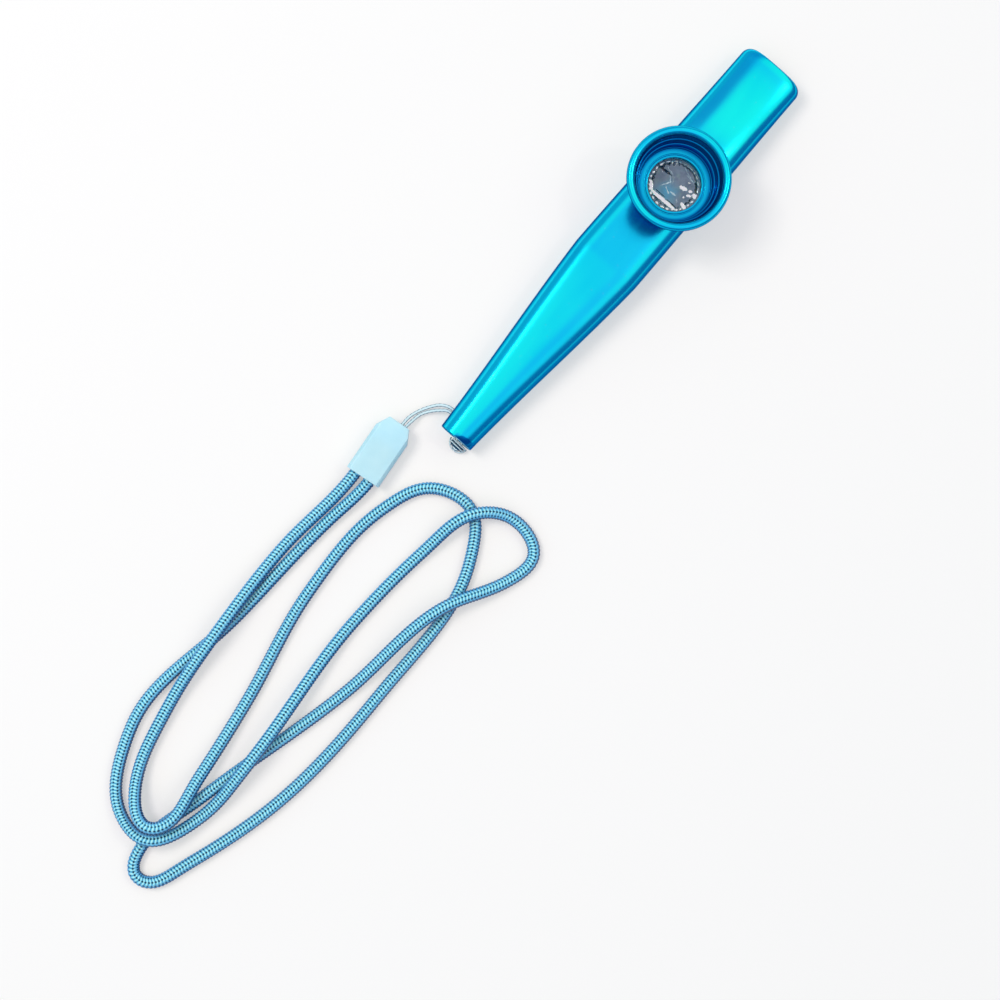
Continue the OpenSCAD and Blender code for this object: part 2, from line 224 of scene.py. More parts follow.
def cylinder(radius, start, end, segments):
    start, end = Vector(start), Vector(end)
    axis = (end - start).normalized()
    side = axis.orthogonal().normalized()
    other = axis.cross(side)
    ring = [side * math.cos(a) * radius + other * math.sin(a) * radius for a in ring_angles(segments)]
    return prism("cylinder", [start + p for p in ring], [end + p for p in ring])


def apply_modifiers(piece):
    bpy.context.view_layer.update()
    evaluated = piece.evaluated_get(bpy.context.evaluated_depsgraph_get())
    mesh = bpy.data.meshes.new_from_object(evaluated)
    piece.modifiers.clear()
    piece.data = mesh


def combine(piece, other_mesh, operation="DIFFERENCE"):
    """Cuts a mesh away from a piece, or keeps only what the two share."""
    other = add_object("other", other_mesh)
    modifier = piece.modifiers.new("combine", "BOOLEAN")
    modifier.operation = operation
    modifier.solver = "EXACT"
    modifier.object = other
    apply_modifiers(piece)
    bpy.data.objects.remove(other)


# ---- camera

# The camera was fitted to the photograph's tube, cup and cord: its place in mm, the picture's turn against
# the tube, the small tilt from straight down as a rotation vector, and its focal length in picture pixels.
CAMERA_PLACE_MM = (-75.46, -4.54, 499.97)
PICTURE_TURN_DEG = 49.25
CAMERA_TILT = Vector((-0.02731, -0.02252, 0.00076))
FOCAL_PX = 2024.85
PICTURE_PX = 1000
SENSOR_MM = 36
CLIP_START, CLIP_END = 0.01, 20


def make_camera():
    turn = math.radians(PICTURE_TURN_DEG)
    right = Vector((math.cos(turn), -math.sin(turn), 0))
    up = Vector((math.sin(turn), math.cos(turn), 0))
    base = Matrix((right, up, Vector((0, 0, 1)))).transposed()
    tilt = Matrix.Rotation(CAMERA_TILT.length, 3, CAMERA_TILT)
    data = bpy.data.cameras.new("camera")
    data.sensor_width = SENSOR_MM
    data.lens = SENSOR_MM * FOCAL_PX / PICTURE_PX
    data.clip_start, data.clip_end = CLIP_START, CLIP_END
    camera = add_object("camera", data)
    camera.matrix_world = Matrix.Translation(Vector(CAMERA_PLACE_MM) * MM) @ (tilt @ base).to_4x4()
    bpy.context.scene.camera = camera


make_camera()

# ---- sizes from the frame

body_low, body_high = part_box("body_shell")
cap_low, cap_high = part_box("cap")
turret_low, turret_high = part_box("turret")
hoop_low, hoop_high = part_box("membrane_hoop")
film_low, film_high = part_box("membrane_film")
ring_low, ring_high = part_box("slip_ring")
sleeve_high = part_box("sleeve")[1]

MOUTH_X = body_low[0]
MOUTHPIECE_X = body_high[0]
CUP_X = (cap_low[0] + cap_high[0]) / 2
BELLY_WIDTH = body_high[1] - body_low[1]
BELLY_HEIGHT = body_high[2]

# ---- materials


class Shader:
    """The nodes of a material or of the world, with a short call for each kind of node used here."""

    def __init__(self, owner):
        owner.use_nodes = True
        self.nodes = owner.node_tree.nodes
        self.links = owner.node_tree.links

    def feed(self, node, values):
        """Sets a node's inputs to numbers and colours, or links them to the outputs of other nodes."""
        for name, value in values.items():
            socket = node.inputs[name]
            if isinstance(value, bpy.types.NodeSocket):
                self.links.new(value, socket)
            elif socket.type == "RGBA":
                socket.default_value = (*value, 1)
            else:
                socket.default_value = value

    def read(self, name):
        """The number that a mesh stores under a name."""
        node = self.nodes.new("ShaderNodeAttribute")
        node.attribute_name = name
        return node.outputs["Fac"]

    def blend(self, share, a, b):
        """A colour between two colours."""
        node = self.nodes.new("ShaderNodeMix")
        node.data_type = "RGBA"
        self.feed(node, {"Factor": share, "A": a, "B": b})
        return node.outputs["Result"]

    def ramp(self, value, stops):
        """The colour at a value, from (value, colour or grey) pairs."""
        node = self.nodes.new("ShaderNodeValToRGB")
        elements = node.color_ramp.elements
        while len(elements) < len(stops):
            elements.new(0.5)
        for element, (place, colour) in zip(elements, stops):
            element.position = place
            element.color = (*(colour if isinstance(colour, tuple) else [colour] * 3), 1)
        self.feed(node, {"Fac": value})
        return node.outputs["Color"]

    def grain(self, per_metre, levels=3, stretch=(1, 1, 1)):
        """Noise in the object's own coordinates."""
        mapping = self.nodes.new("ShaderNodeMapping")
        place = self.nodes.new("ShaderNodeTexCoord").outputs["Object"]
        self.feed(mapping, {"Vector": place, "Scale": stretch})
        node = self.nodes.new("ShaderNodeTexNoise")
        self.feed(node, {"Vector": mapping.outputs["Vector"], "Scale": per_metre, "Detail": levels})
        return node.outputs["Fac"]

    def spread(self, value, low, high):
        """A value from 0 to 1 spread over another range."""
        node = self.nodes.new("ShaderNodeMapRange")
        self.feed(node, {"Value": value, "To Min": low, "To Max": high})
        return node.outputs["Result"]

    def step(self, value, low, high):
        """0 up to low and 1 from high on, with an easy slope between them."""
        node = self.nodes.new("ShaderNodeMapRange")
        node.interpolation_type = "SMOOTHSTEP"
        self.feed(node, {"Value": value, "From Min": low, "From Max": high})
        return node.outputs["Result"]

    def maths(self, operation, a, b):
        node = self.nodes.new("ShaderNodeMath")
        node.operation = operation
        self.feed(node, {0: a, 1: b})
        return node.outputs[0]


class Material(Shader):
    """A material with one Principled shader."""

    def __init__(self, name):
        self.made = bpy.data.materials.new(name)
        super().__init__(self.made)

    def set(self, values):
        self.feed(self.nodes["Principled BSDF"], values)

    def bump(self, height, distance):
        node = self.nodes.new("ShaderNodeBump")
        self.feed(node, {"Height": height, "Distance": distance})
        self.set({"Normal": node.outputs["Normal"]})


DYE = (0.008, 0.7, 0.92)
DYE_CLOUD = (0.004, 0.62, 0.9)
# The dye's colour where painted shade lies
DYE_SHADED = (0.0, 0.12, 0.4)
DYE_SPECK = (0.25, 0.88, 0.97)
# The painted highlight on the narrow mouth's cut edge
EDGE_HIGHLIGHT = (0.5, 0.85, 0.95)
EDGE_TINT = (0.6, 0.9, 1.0)
# The edge tint where painted shade lies
EDGE_TINT_SHADED = (0.01, 0.2, 0.4)


def anodised():
    """Blue anodised aluminium with drawing lines, faint clouds and specks; painted shade darkens the dye, and
    a painted highlight lightens the narrow mouth's cut edge.
    """
    mat = Material("blue_anodised")
    # Painted shade darkens the dye and its edge tint; a painted highlight lightens the narrow mouth's cut
    # edge
    painted_shade = mat.read("painted_shade")
    lines = mat.grain(900, 4, stretch=(0.06, 1, 1))
    cloud = mat.ramp(mat.grain(90, 2, stretch=(0.35, 1, 1)), [(0.42, 0), (0.66, 1)])
    speck = mat.ramp(mat.grain(1500, 2), [(0.72, 0), (0.78, 0.6)])
    dye = mat.blend(cloud, DYE, DYE_CLOUD)
    dye = mat.blend(speck, dye, DYE_SPECK)
    dye = mat.blend(painted_shade, dye, DYE_SHADED)
    mat.set({
        "Base Color": mat.blend(mat.read("edge_highlight"), dye, EDGE_HIGHLIGHT),
        "Metallic": 1,
        "Specular Tint": mat.blend(painted_shade, EDGE_TINT, EDGE_TINT_SHADED),
        "Roughness": mat.spread(lines, 0.16, 0.26),
    })
    mat.bump(lines, 0.004 * MM)
    return mat.made


FILM_GREYS = [(0.3, (0.08, 0.13, 0.2)), (0.5, (0.17, 0.23, 0.3)), (0.7, (0.1, 0.17, 0.24))]
FILM_TEAL = (0.05, 0.34, 0.52)
FILM_RIDGE_TONE = (0.6, 0.72, 0.78)
FILM_SHADE_TONE = (0.004, 0.01, 0.02)
FILM_HIGHLIGHT_TONE = (0.93, 1.0, 0.92)


def film_material():
    """Thin crumpled film: grey and half clear, with painted white highlights on some folds, which are partly
    metallic, and painted black shade on others.
    """
    mat = Material("film")
    film_highlight, film_shade, ridge_highlight, teal = (mat.read(name) for name in ("film_highlight", "film_shade", "ridge_highlight", "teal"))
    colour = mat.ramp(mat.grain(420, 5), FILM_GREYS)
    # Over the grey: the teal patch, then painted ridge highlights, painted black shade and painted white
    # highlights
    for share, tone in ((teal, FILM_TEAL), (ridge_highlight, FILM_RIDGE_TONE), (film_shade, FILM_SHADE_TONE), (film_highlight, FILM_HIGHLIGHT_TONE)):
        colour = mat.blend(share, colour, tone)
    mat.set({
        "Base Color": colour,
        "Metallic": mat.spread(film_highlight, 0, 0.7),
        "Roughness": mat.spread(ridge_highlight, 0.12, 0.3),
        "Coat Weight": 0.6,
        "Coat Roughness": 0.08,
        "Alpha": 0.9,
    })
    mat.bump(mat.grain(2600, 4), 0.02 * MM)
    return mat.made


# Painted highlight on the stitches' crowns and painted shade in their grooves, by the stitches' height
BRAID_STITCH_SHADING = [(0.22, (0.02, 0.24, 0.46)), (0.5, (0.1, 0.5, 0.72)), (0.8, (0.5, 0.95, 0.95))]
# Painted shade: the plainer tone away from the light
BRAID_LESS_LIT = (0.16, 0.52, 0.8)
# Painted shade down the cord's sides
BRAID_SIDE_SHADE = (0.07, 0.34, 0.7)
BRAID_FIBRE = (0.1, 0.42, 0.66)
# Painted shade: the darkest tone, away from the light
BRAID_SHADED = (0.005, 0.1, 0.29)
# Painted shade in the holes
BRAID_HOLE_SHADE = (0.0, 0.03, 0.07)


def braid_material():
    """Woven polyester: painted highlights on the crowns, blue grooves and near-black holes of painted shade,
    and plainer, bluer painted shade down its sides and away from the light.
    """
    mat = Material("braid")
    # Painted shade on the side away from the light
    low = mat.read("low")
    fibre = mat.grain(5200)
    colour = mat.ramp(mat.read("stitch"), BRAID_STITCH_SHADING)
    for share, tone in (
        (mat.ramp(low, [(0, 0.05), (0.07, 0.6), (0.2, 0.85)]), BRAID_LESS_LIT),
        (mat.ramp(mat.read("side_shade"), [(0.16, 0), (0.4, 0.75)]), BRAID_SIDE_SHADE),
        (mat.spread(fibre, 0, 0.2), BRAID_FIBRE),
        (mat.ramp(low, [(0.4, 0), (0.52, 0.55), (0.62, 1)]), BRAID_SHADED),
        (mat.ramp(mat.read("hole"), [(0.2, 0), (0.45, 1)]), BRAID_HOLE_SHADE),
    ):
        colour = mat.blend(share, colour, tone)
    mat.set({"Base Color": colour, "Roughness": 0.4})
    mat.bump(fibre, 0.03 * MM)
    return mat.made


# Painted shade on a strand's sides and between its plies, up to a painted highlight on its crown
STRAND_SHADING_COLOURS = [(0, (0.0, 0.05, 0.11)), (0.4, (0.05, 0.26, 0.36)), (0.75, (0.8, 0.94, 0.98))]


def nylon_material():
    """Pale twisted nylon, with painted shade on its strands' sides and between its plies."""
    mat = Material("nylon")
    mat.set({
        "Base Color": mat.ramp(mat.read("strand_shading"), STRAND_SHADING_COLOURS),
        "Roughness": 0.28,
        "Specular IOR Level": 0.3,
        "Transmission Weight": 0.15,
    })
    mat.bump(mat.grain(6000, 2), 0.01 * MM)
    return mat.made


def moulded(name, low, high, roughness, grain_height):
    """Moulded milky plastic between two close colours, with the fine grain of its mould."""
    mat = Material(name)
    fine = mat.grain(3500)
    mat.set({
        "Base Color": mat.blend(mat.grain(160), low, high),
        "Roughness": mat.spread(fine, roughness - 0.08, roughness + 0.08),
        "Subsurface Weight": 0.5,
        "Subsurface Radius": (1, 1, 1),
        "Subsurface Scale": 1.5 * MM,
    })
    mat.bump(fine, grain_height)
    return mat.made


STEEL_DULL = (0.5, 0.5, 0.52)
STEEL_LIGHT = (0.78, 0.78, 0.8)


def pressed_metal():
    """Plated steel strip: dull, with fine rolling marks and light spots."""
    mat = Material("crimp")
    marks = mat.grain(1800, stretch=(0.1, 1, 1))
    mat.set({
        "Base Color": mat.blend(mat.grain(700), STEEL_DULL, STEEL_LIGHT),
        "Metallic": 1,
        "Roughness": mat.spread(marks, 0.25, 0.45),
    })
    mat.bump(marks, 0.01 * MM)
    return mat.made


BLUE = anodised()
BRAID = braid_material()
NYLON = nylon_material()
SLEEVE = moulded("sleeve", (0.47, 0.74, 0.84), (0.62, 0.86, 0.93), 0.42, 0.012 * MM)
HOOP = moulded("hoop", (0.6, 0.7, 0.76), (0.7, 0.78, 0.82), 0.4, 0.01 * MM)
RING = moulded("slip_ring", (0.5, 0.58, 0.63), (0.6, 0.66, 0.7), 0.4, 0.01 * MM)
FILM = film_material()
CRIMP = pressed_metal()

# ---- cords

CORD_D = 3.1 * MM
# The fluff of the braid stands a little proud of the CAD cord
CORD_RADIUS_SEEN = 1.6 * MM
CORD_STEP = 1.5 * MM
CORD_PASSES = 8
FINE_PASSES = 6
# The cord's painted shade lies on its side away from here, and starts where it faces this way by less than a
# share
CORD_LIT_FROM = np.array([-0.05, 0.3, 0.95])
CORD_LIT_FULL = 0.86
LOOP_D = 0.8 * MM
LOOP_STEP = 0.25 * MM
LOOP_PASSES = 4
LOOP_AROUND = 20
ROUTE_STEPS = 24
# Heading of the sleeve, in which both cords leave it
SLEEVE_TURN = math.radians(6.5)
SLEEVE_WAY = Vector((math.cos(SLEEVE_TURN), math.sin(SLEEVE_TURN), 0))

# The braided cord's route in mm, measured from the middle of the narrow mouth, as in part.scad
CORD_ROUTE = [
    (-16.3, 13.7, 2.8), (-22.8, 13, 2.8), (-48, 14.6, 2.5), (-71, 13.3, 5.5), (-96, 10.2, 2.4),
    (-115, 3.9, 3.6), (-119.9, -1, 6.8), (-121, -5.1, 8.8), (-117.6, -8.2, 8.8), (-105, -6.9, 4.4),
    (-82, -3.4, 1.6), (-52, 2.7, 1.6), (-25, 2.3, 1.6), (-13.2, -2.6, 1.6), (-10.2, -15, 1.6),
    (-19.5, -22, 1.6), (-60, -27, 1.6), (-98, -25.1, 1.6), (-124, -17.7, 1.6), (-131.9, -14.7, 1.6),
    (-132.8, -9.4, 1.6), (-126.4, -7, 1.6), (-108, -10.3, 1.6), (-65, -20.3, 1.6), (-32.3, -25, 5.2),
    (-18, -32.8, 1.8), (-9.3, -34.5, 1.6), (-5.4, -23, 2.2), (-11.1, -15.1, 5.1), (-26, -12.2, 1.8),
    (-51, -10.5, 1.6), (-94, -13.7, 5.6), (-110, -13.7, 2.4), (-123.9, -6.7, 5.6), (-123, 2.5, 1.9),
    (-105, 14.1, 1.6), (-68, 12, 1.6), (-35, 10.4, 1.7), (-22.3, 9, 2.8), (-15.8, 9.7, 2.8),
]
# The thin loop's route, likewise
LOOP_ROUTE = [
    (-15.6, 11, 2.8), (-11, 11.5, 2.8), (-6, 12.1, 2.8), (-3.5, 12.1, 2.1), (-0.8, 11.3, 1.5),
    (1.8, 9.9, 1.7), (4, 8, 2.5), (4.9, 6, 3.1), (4.9, 4.2, 3.1), (4.4, 2.2, 2.8), (3, 0.2, 2.5),
    (1, -1.3, 2.2), (-1, -2.2, 2), (-1.9, -1.9, 2), (-2, -1.2, 2), (-1.2, -0.8, 2.1), (0, -0.4, 2.3),
    (2, 0.9, 2.6), (3.4, 2.6, 2.9), (4, 4.2, 3.1), (4, 5.6, 3.1), (2.8, 7.4, 2.4), (1.2, 9, 1.6),
    (-1, 10.4, 1.4), (-3.7, 10.9, 2.1), (-5.9, 11.1, 2.8), (-10.9, 10.6, 2.8), (-15.5, 10, 2.8),
]


def smooth_route(route, start_way, radius, step, passes):
    """Even points on part.scad's curve through a route, kept on the floor and smoothed."""
    points = np.array(route) * MM + np.array([MOUTH_X, 0, 0])
    lengths = gaps(points)
    ways = np.diff(points, axis=0) / lengths[:, None]
    tangents = np.empty_like(points)
    tangents[0] = start_way
    tangents[-1] = -np.array(start_way)
    weights = lengths[:, None]
    tangents[1:-1] = (weights[1:] * ways[:-1] + weights[:-1] * ways[1:]) / (weights[1:] + weights[:-1])
    t = np.linspace(0, 1, ROUTE_STEPS + 1)[:-1, None]
    dense = [
        (2 * t ** 3 - 3 * t ** 2 + 1) * points[i] + (t ** 3 - 2 * t ** 2 + t) * lengths[i] * tangents[i]
        + (3 * t ** 2 - 2 * t ** 3) * points[i + 1] + (t ** 3 - t ** 2) * lengths[i] * tangents[i + 1]
        for i in range(len(lengths))
    ]
    dense = np.concatenate(dense + [points[-1:]])
    dense[:, 2] = np.maximum(dense[:, 2], radius)
    return smoothed(even_points(dense, step), passes)


# The braid: columns of slanted stitches that mirror each other, with holes where two columns meet, painted
# dark as shade
BRAID_COLUMNS = 8
STITCH = 0.84 * MM
STITCH_SLANT = 0.36
STITCH_FOOT = 0.2
STITCH_FULLNESS = 0.8
BRAID_RELIEF = 0.2 * MM
BRAID_TURN = 0.72
BRAID_WANDER = 0.3
BRAID_WANDER_LENGTH = 170 * MM
HOLE_RADIUS = 0.25 * MM
HOLE_RELIEF_SHARE = 0.6
RIDGE_HOLE_SHARE = 0.75


def braid_look(along, angle):
    """How high a stitch stands, from 0 in the grooves to 1 on its crown, and how deep a hole is."""
    wander = BRAID_WANDER * np.sin(TURN * along / BRAID_WANDER_LENGTH)
    column = BRAID_COLUMNS * angle / TURN + BRAID_TURN + wander
    across = column % 1 - 0.5
    mirrored = np.floor(column) % 2 == 0
    phase = along / STITCH + np.where(mirrored, STITCH_SLANT, -STITCH_SLANT) * across
    crown = 0.5 + 0.5 * np.cos(TURN * phase)
    pillow = np.cos(math.pi * across) ** 0.5
    column_width = math.pi * CORD_D / BRAID_COLUMNS
    beside = (0.5 - np.abs(across)) * column_width
    valley = np.where(mirrored, across, -across) > 0
    ahead = ((along / STITCH + np.where(valley, STITCH_SLANT / 2, -STITCH_SLANT / 2)) % 1 - 0.5) * STITCH
    hole = np.where(valley, 1, RIDGE_HOLE_SHARE) * np.exp(-(beside ** 2 + ahead ** 2) / HOLE_RADIUS ** 2)
    return mix(STITCH_FOOT, 1, crown ** STITCH_FULLNESS) * (0.5 + 0.5 * pillow), hole


def make_cord():
    path = smooth_route(CORD_ROUTE, -SLEEVE_WAY, CORD_D / 2, CORD_STEP, CORD_PASSES)
    fine = smoothed(even_points(path, detail(0.15) * MM), FINE_PASSES)
    along, angle = tube_grid(fine, detail(56))
    stitch, hole = braid_look(along, angle)
    radius = CORD_RADIUS_SEEN - BRAID_RELIEF * (1 - stitch + HOLE_RELIEF_SHARE * hole)
    mesh = tube_mesh("cord_braid", [tube_surface(fine, angle, radius)])
    side, up = path_frames(fine)
    facing = np.cos(angle) * (side @ CORD_LIT_FROM)[:, None] + np.sin(angle) * (up @ CORD_LIT_FROM)[:, None]
    # Painted highlights and shade of the stitches, and painted shade in the holes
    add_shade(mesh, "stitch", stitch)
    add_shade(mesh, "hole", hole)
    # Painted shade on the side away from the light
    add_shade(mesh, "low", np.clip((CORD_LIT_FULL - facing) / CORD_LIT_FULL, 0, 1))
    # Painted shade down the sides, where the cord faces less upward
    add_shade(mesh, "side_shade", 1 - np.clip(np.sin(angle) * up[:, 2:], 0, 1))
    return link("cord_braid", mesh, "cord", BRAID), path


PLY_PITCH = 2.2 * MM
PLY_RELIEF = 0.12
PLY_SHADE = 0.15
# Painted shade darkens a strand up to the first of these shares of its height, and it is painted light from
# the second on
PLY_DARK_TO, PLY_LIGHT_FROM = 0.4, 0.9


def ply_height(along, angle):
    """Two plies twisted round each other."""
    return 0.5 + 0.5 * np.cos(2 * (angle - TURN * along / PLY_PITCH))


def ply_radius(along, angle, radius):
    return radius * (1 - PLY_RELIEF + PLY_RELIEF * ply_height(along, angle))


def ply_shade(along, angle):
    """Painted shade of a twisted strand: its sides are darker than its crown, and its plies show a little."""
    crown = np.clip((np.abs(np.sin(angle)) - PLY_DARK_TO) / (PLY_LIGHT_FROM - PLY_DARK_TO), 0, 1)
    return (1 - PLY_SHADE + PLY_SHADE * ply_height(along, angle)) * crown


def make_thin_loop():
    path = smooth_route(LOOP_ROUTE, SLEEVE_WAY, LOOP_D / 2, LOOP_STEP, LOOP_PASSES)
    along, angle = tube_grid(path, LOOP_AROUND)
    surface = tube_surface(path, angle, ply_radius(along, angle, LOOP_D / 2))
    mesh = tube_mesh("thin_loop_cord", [surface])
    # Painted shade on the strand's sides and between its plies
    add_shade(mesh, "strand_shading", ply_shade(along, angle))
    return link("thin_loop_cord", mesh, "thin_loop", NYLON), path


# ---- tube

TUBE_WALL = 0.8 * MM
BELLY_X = MOUTH_X + 56 * MM
MOUTH_WIDTH = 9.3 * MM
MOUTH_HEIGHT = 8.6 * MM
MOUTH_RISE = 0.6 * MM
MOUTHPIECE_WIDTH = 17.4 * MM
MOUTHPIECE_HEIGHT = 8 * MM
MOUTHPIECE_RISE = 0.8 * MM
CORNER_RADIUS = 2.3 * MM
SHOULDER_X = turret_high[0] + CORNER_RADIUS
LIP_ROUND = 0.4 * MM
EDGE_ROUND = 0.25 * MM
FLAT_SHARE = 0.97
TAPER_EASE_SHARE = 0.3
MOUTH_FULLNESS, BELLY_FULLNESS, MOUTHPIECE_FULLNESS = 2.2, 3.3, 3
MOUTH_RINGS, CORNER_RINGS, EDGE_RINGS = 10, 14, 9
TUBE_SHARP_DEG = 40
SEAT_SIDES, HOLE_SIDES = 128, 64
LOOP_HOLE_D = 2.4 * MM
LOOP_HOLE_X = MOUTH_X + 4.5 * MM
LOOP_HOLE_Z = 3.1 * MM
# The dent that the photograph shows in the narrow mouth
DENT_LENGTH = 1.9 * MM
DENT_DEPTH = 0.7 * MM
DENT_EDGE_Y = 0.9 * MM
DENT_BLEND = 1.2 * MM
# Painted shade darkens the dye on the tube's steep flanks: by how much, and from which upward share of the
# normal to which
FLANK_SHADE = 0.85
FLANK_PLUS_Y = (0.72, 0.32)
FLANK_MINUS_Y = (0.78, 0.58)
FLANK_UNDER = 0.6
FLANK_UNDER_TO = 0.35
# Painted shade darkens the pressed end of the narrow mouth too; its edge wanders and reaches further from +Y
# to -Y
PRESSED_SHADE = 0.9
PRESSED_REACH_MM = (0.3, 2.2)
PRESSED_REACH_Y_MM = (0.5, -1.5)
PRESSED_FADE = 0.5 * MM
PRESSED_WANDER = 0.35
PRESSED_WANDER_PER_M = 700
# A painted highlight lightens the cut edge of the narrow mouth, but for its +Y side
EDGE_HIGHLIGHT_DEPTH, EDGE_HIGHLIGHT_FADE = 0.2 * MM, 0.1 * MM
EDGE_HIGHLIGHT_Y_MM = (1, 0.4)


def growth(x):
    share = held((x - MOUTH_X) / (BELLY_X - MOUTH_X))
    return mix(share, ease(share), TAPER_EASE_SHARE)


def narrowing(x, start):
    return eased(x, start, MOUTHPIECE_X)


def along_tube(x, at_mouth, at_belly, at_mouthpiece, start):
    """A size of the tube's section at x, between its three given values."""
    if x < BELLY_X:
        return mix(at_mouth, at_belly, growth(x))
    return mix(at_belly, at_mouthpiece, narrowing(x, start))


def tube_section(x, turn, shrink, angles):
    """One ring of the tube; turn runs from 0 to a quarter circle round the mouthpiece's corners."""
    width = along_tube(x, MOUTH_WIDTH, BELLY_WIDTH, MOUTHPIECE_WIDTH, BELLY_X)
    height = along_tube(x, MOUTH_HEIGHT, BELLY_HEIGHT, MOUTHPIECE_HEIGHT, SHOULDER_X)
    power = along_tube(x, MOUTH_FULLNESS, BELLY_FULLNESS, MOUTHPIECE_FULLNESS, SHOULDER_X)
    bottom = MOUTH_RISE * (1 - ease(growth(x))) + MOUTHPIECE_RISE * narrowing(x, SHOULDER_X)
    back = 1 - math.cos(turn)
    half_y = width / 2 - CORNER_RADIUS * back - shrink
    outer_z = height / (1 + FLAT_SHARE)
    middle = bottom + FLAT_SHARE * outer_z
    half_z = outer_z - LIP_ROUND * back - shrink
    floor_z = -FLAT_SHARE * outer_z + LIP_ROUND * back + shrink
    y = half_y * np.sign(np.cos(angles)) * np.abs(np.cos(angles)) ** (2 / power)
    z = half_z * np.sign(np.sin(angles)) * np.abs(np.sin(angles)) ** (2 / power)
    return np.stack([np.full(len(angles), x), y, middle + np.maximum(floor_z, z)], -1)


def tube_rings(angles):
    """Rings over the outside, round the mouthpiece's edge, back inside, and round the mouth's edge."""
    straight_end = MOUTHPIECE_X - CORNER_RADIUS
    mouth_xs = np.linspace(MOUTH_X + EDGE_ROUND, MOUTH_X + DENT_LENGTH, MOUTH_RINGS)
    xs = np.concatenate([mouth_xs[:-1], np.linspace(mouth_xs[-1], straight_end, detail(150))])
    stations = [(x, 0) for x in xs]
    stations += [(straight_end + CORNER_RADIUS * math.sin(t), t)
                 for t in np.linspace(0, math.pi / 2, CORNER_RINGS)[1:]]
    rings = [tube_section(x, t, 0, angles) for x, t in stations]
    rings += [tube_section(x, t, TUBE_WALL, angles) for x, t in reversed(stations)]
    for turn in np.linspace(0, math.pi, EDGE_RINGS)[1:-1]:
        x = MOUTH_X + EDGE_ROUND - EDGE_ROUND * math.sin(turn)
        shrink = TUBE_WALL / 2 * (1 + math.cos(turn))
        rings.append(tube_section(MOUTH_X, 0, shrink, angles) + np.array([x - MOUTH_X, 0, 0]))
    return rings


def tube_painted_shade(vertex):
    """How much painted shade darkens the dye: on the tube's steep sides and on the pressed end at the narrow
    mouth.
    """
    upright = abs(vertex.normal.z)
    if vertex.normal.y > 0:
        side_shade = FLANK_SHADE * eased(upright, *FLANK_PLUS_Y)
    else:
        side_shade = FLANK_SHADE * eased(upright, *FLANK_MINUS_Y)
        side_shade *= mix(FLANK_UNDER, 1, eased(upright, 0, FLANK_UNDER_TO))
    place = vertex.co
    wander = 1 + PRESSED_WANDER * noise.noise(place * PRESSED_WANDER_PER_M)
    reach = mix(*PRESSED_REACH_MM, eased(place.y / MM, *PRESSED_REACH_Y_MM)) * wander * MM
    pressed = eased(place.x, MOUTH_X + reach, MOUTH_X + reach - PRESSED_FADE)
    return max(side_shade, PRESSED_SHADE * pressed)


def tube_edge_highlight(vertex):
    """How strong the painted highlight on the narrow mouth's cut edge is: it lies on the side of the knot."""
    at_edge = held((MOUTH_X + EDGE_HIGHLIGHT_DEPTH - vertex.co.x) / EDGE_HIGHLIGHT_FADE)
    return at_edge * eased(vertex.co.y / MM, *EDGE_HIGHLIGHT_Y_MM)


def dent_mouth(mesh):
    """Presses the top of the narrow mouth down a little on the side of the knot, as in the photograph."""
    for vertex in mesh.vertices:
        place = vertex.co
        ahead = held((MOUTH_X + DENT_LENGTH - place.x) / DENT_LENGTH)
        beside = eased(place.y, DENT_EDGE_Y, DENT_EDGE_Y - DENT_BLEND)
        upper = eased(place.z, MOUTH_HEIGHT / 2, MOUTH_HEIGHT * 3 / 4)
        place.z -= DENT_DEPTH * ahead ** 2 * beside * upper
    mesh.update()


def make_body():
    angles = ring_angles(detail(144))
    rings = np.array(tube_rings(angles))
    mesh = quad_mesh("tube", rings, grid_faces(len(rings), len(angles), True))
    piece = link("tube", mesh, "body_shell", BLUE, smooth_deg=TUBE_SHARP_DEG)
    seat_r = (turret_high[0] - turret_low[0]) / 2
    combine(piece, cylinder(seat_r, (CUP_X, 0, turret_low[2]), (CUP_X, 0, 2 * BELLY_HEIGHT), SEAT_SIDES))
    hole_from, hole_to = ((LOOP_HOLE_X, y, LOOP_HOLE_Z) for y in (0, BELLY_WIDTH))
    combine(piece, cylinder(LOOP_HOLE_D / 2, hole_from, hole_to, HOLE_SIDES))
    mesh = piece.data
    dent_mouth(mesh)
    mesh.set_sharp_from_angle(angle=math.radians(TUBE_SHARP_DEG))
    # Painted shade on the tube's steep flanks and pressed mouth
    add_shade(mesh, "painted_shade", [tube_painted_shade(v) for v in mesh.vertices])
    # A painted highlight on the narrow mouth's cut edge, but for its +Y side
    add_shade(mesh, "edge_highlight", [tube_edge_highlight(v) for v in mesh.vertices])


# ---- cup, turret and rings

CUP_BORE_R = 6.5 * MM
NECK_R = 7.3 * MM
NECK_BOTTOM = cap_low[2]
FOOT_R = 9.6 * MM
FOOT_BOTTOM = turret_high[2] + 0.2 * MM
FOOT_TOP = FOOT_BOTTOM + 3.2 * MM
FLOOR_TOP = FOOT_BOTTOM + 0.9 * MM
RECESS_R = 8.7 * MM
RECESS_TOP = FLOOR_TOP + 0.8 * MM
RECESS_EDGE = 0.25 * MM
LIP_RADIUS = 1 * MM
LIP_R = 11.5 * MM
LIP_Z = cap_high[2] - LIP_RADIUS
CUP_WALL = 0.8 * MM
# The rolled lip: where its round begins and ends, and where the outer flare meets it
LIP_START_DEG, LIP_END_DEG, FLARE_DEG = -60, 195, -65
FLARE_ROWS, LIP_ROWS = 34, 30
STEP_WIDTH = 0.3 * MM
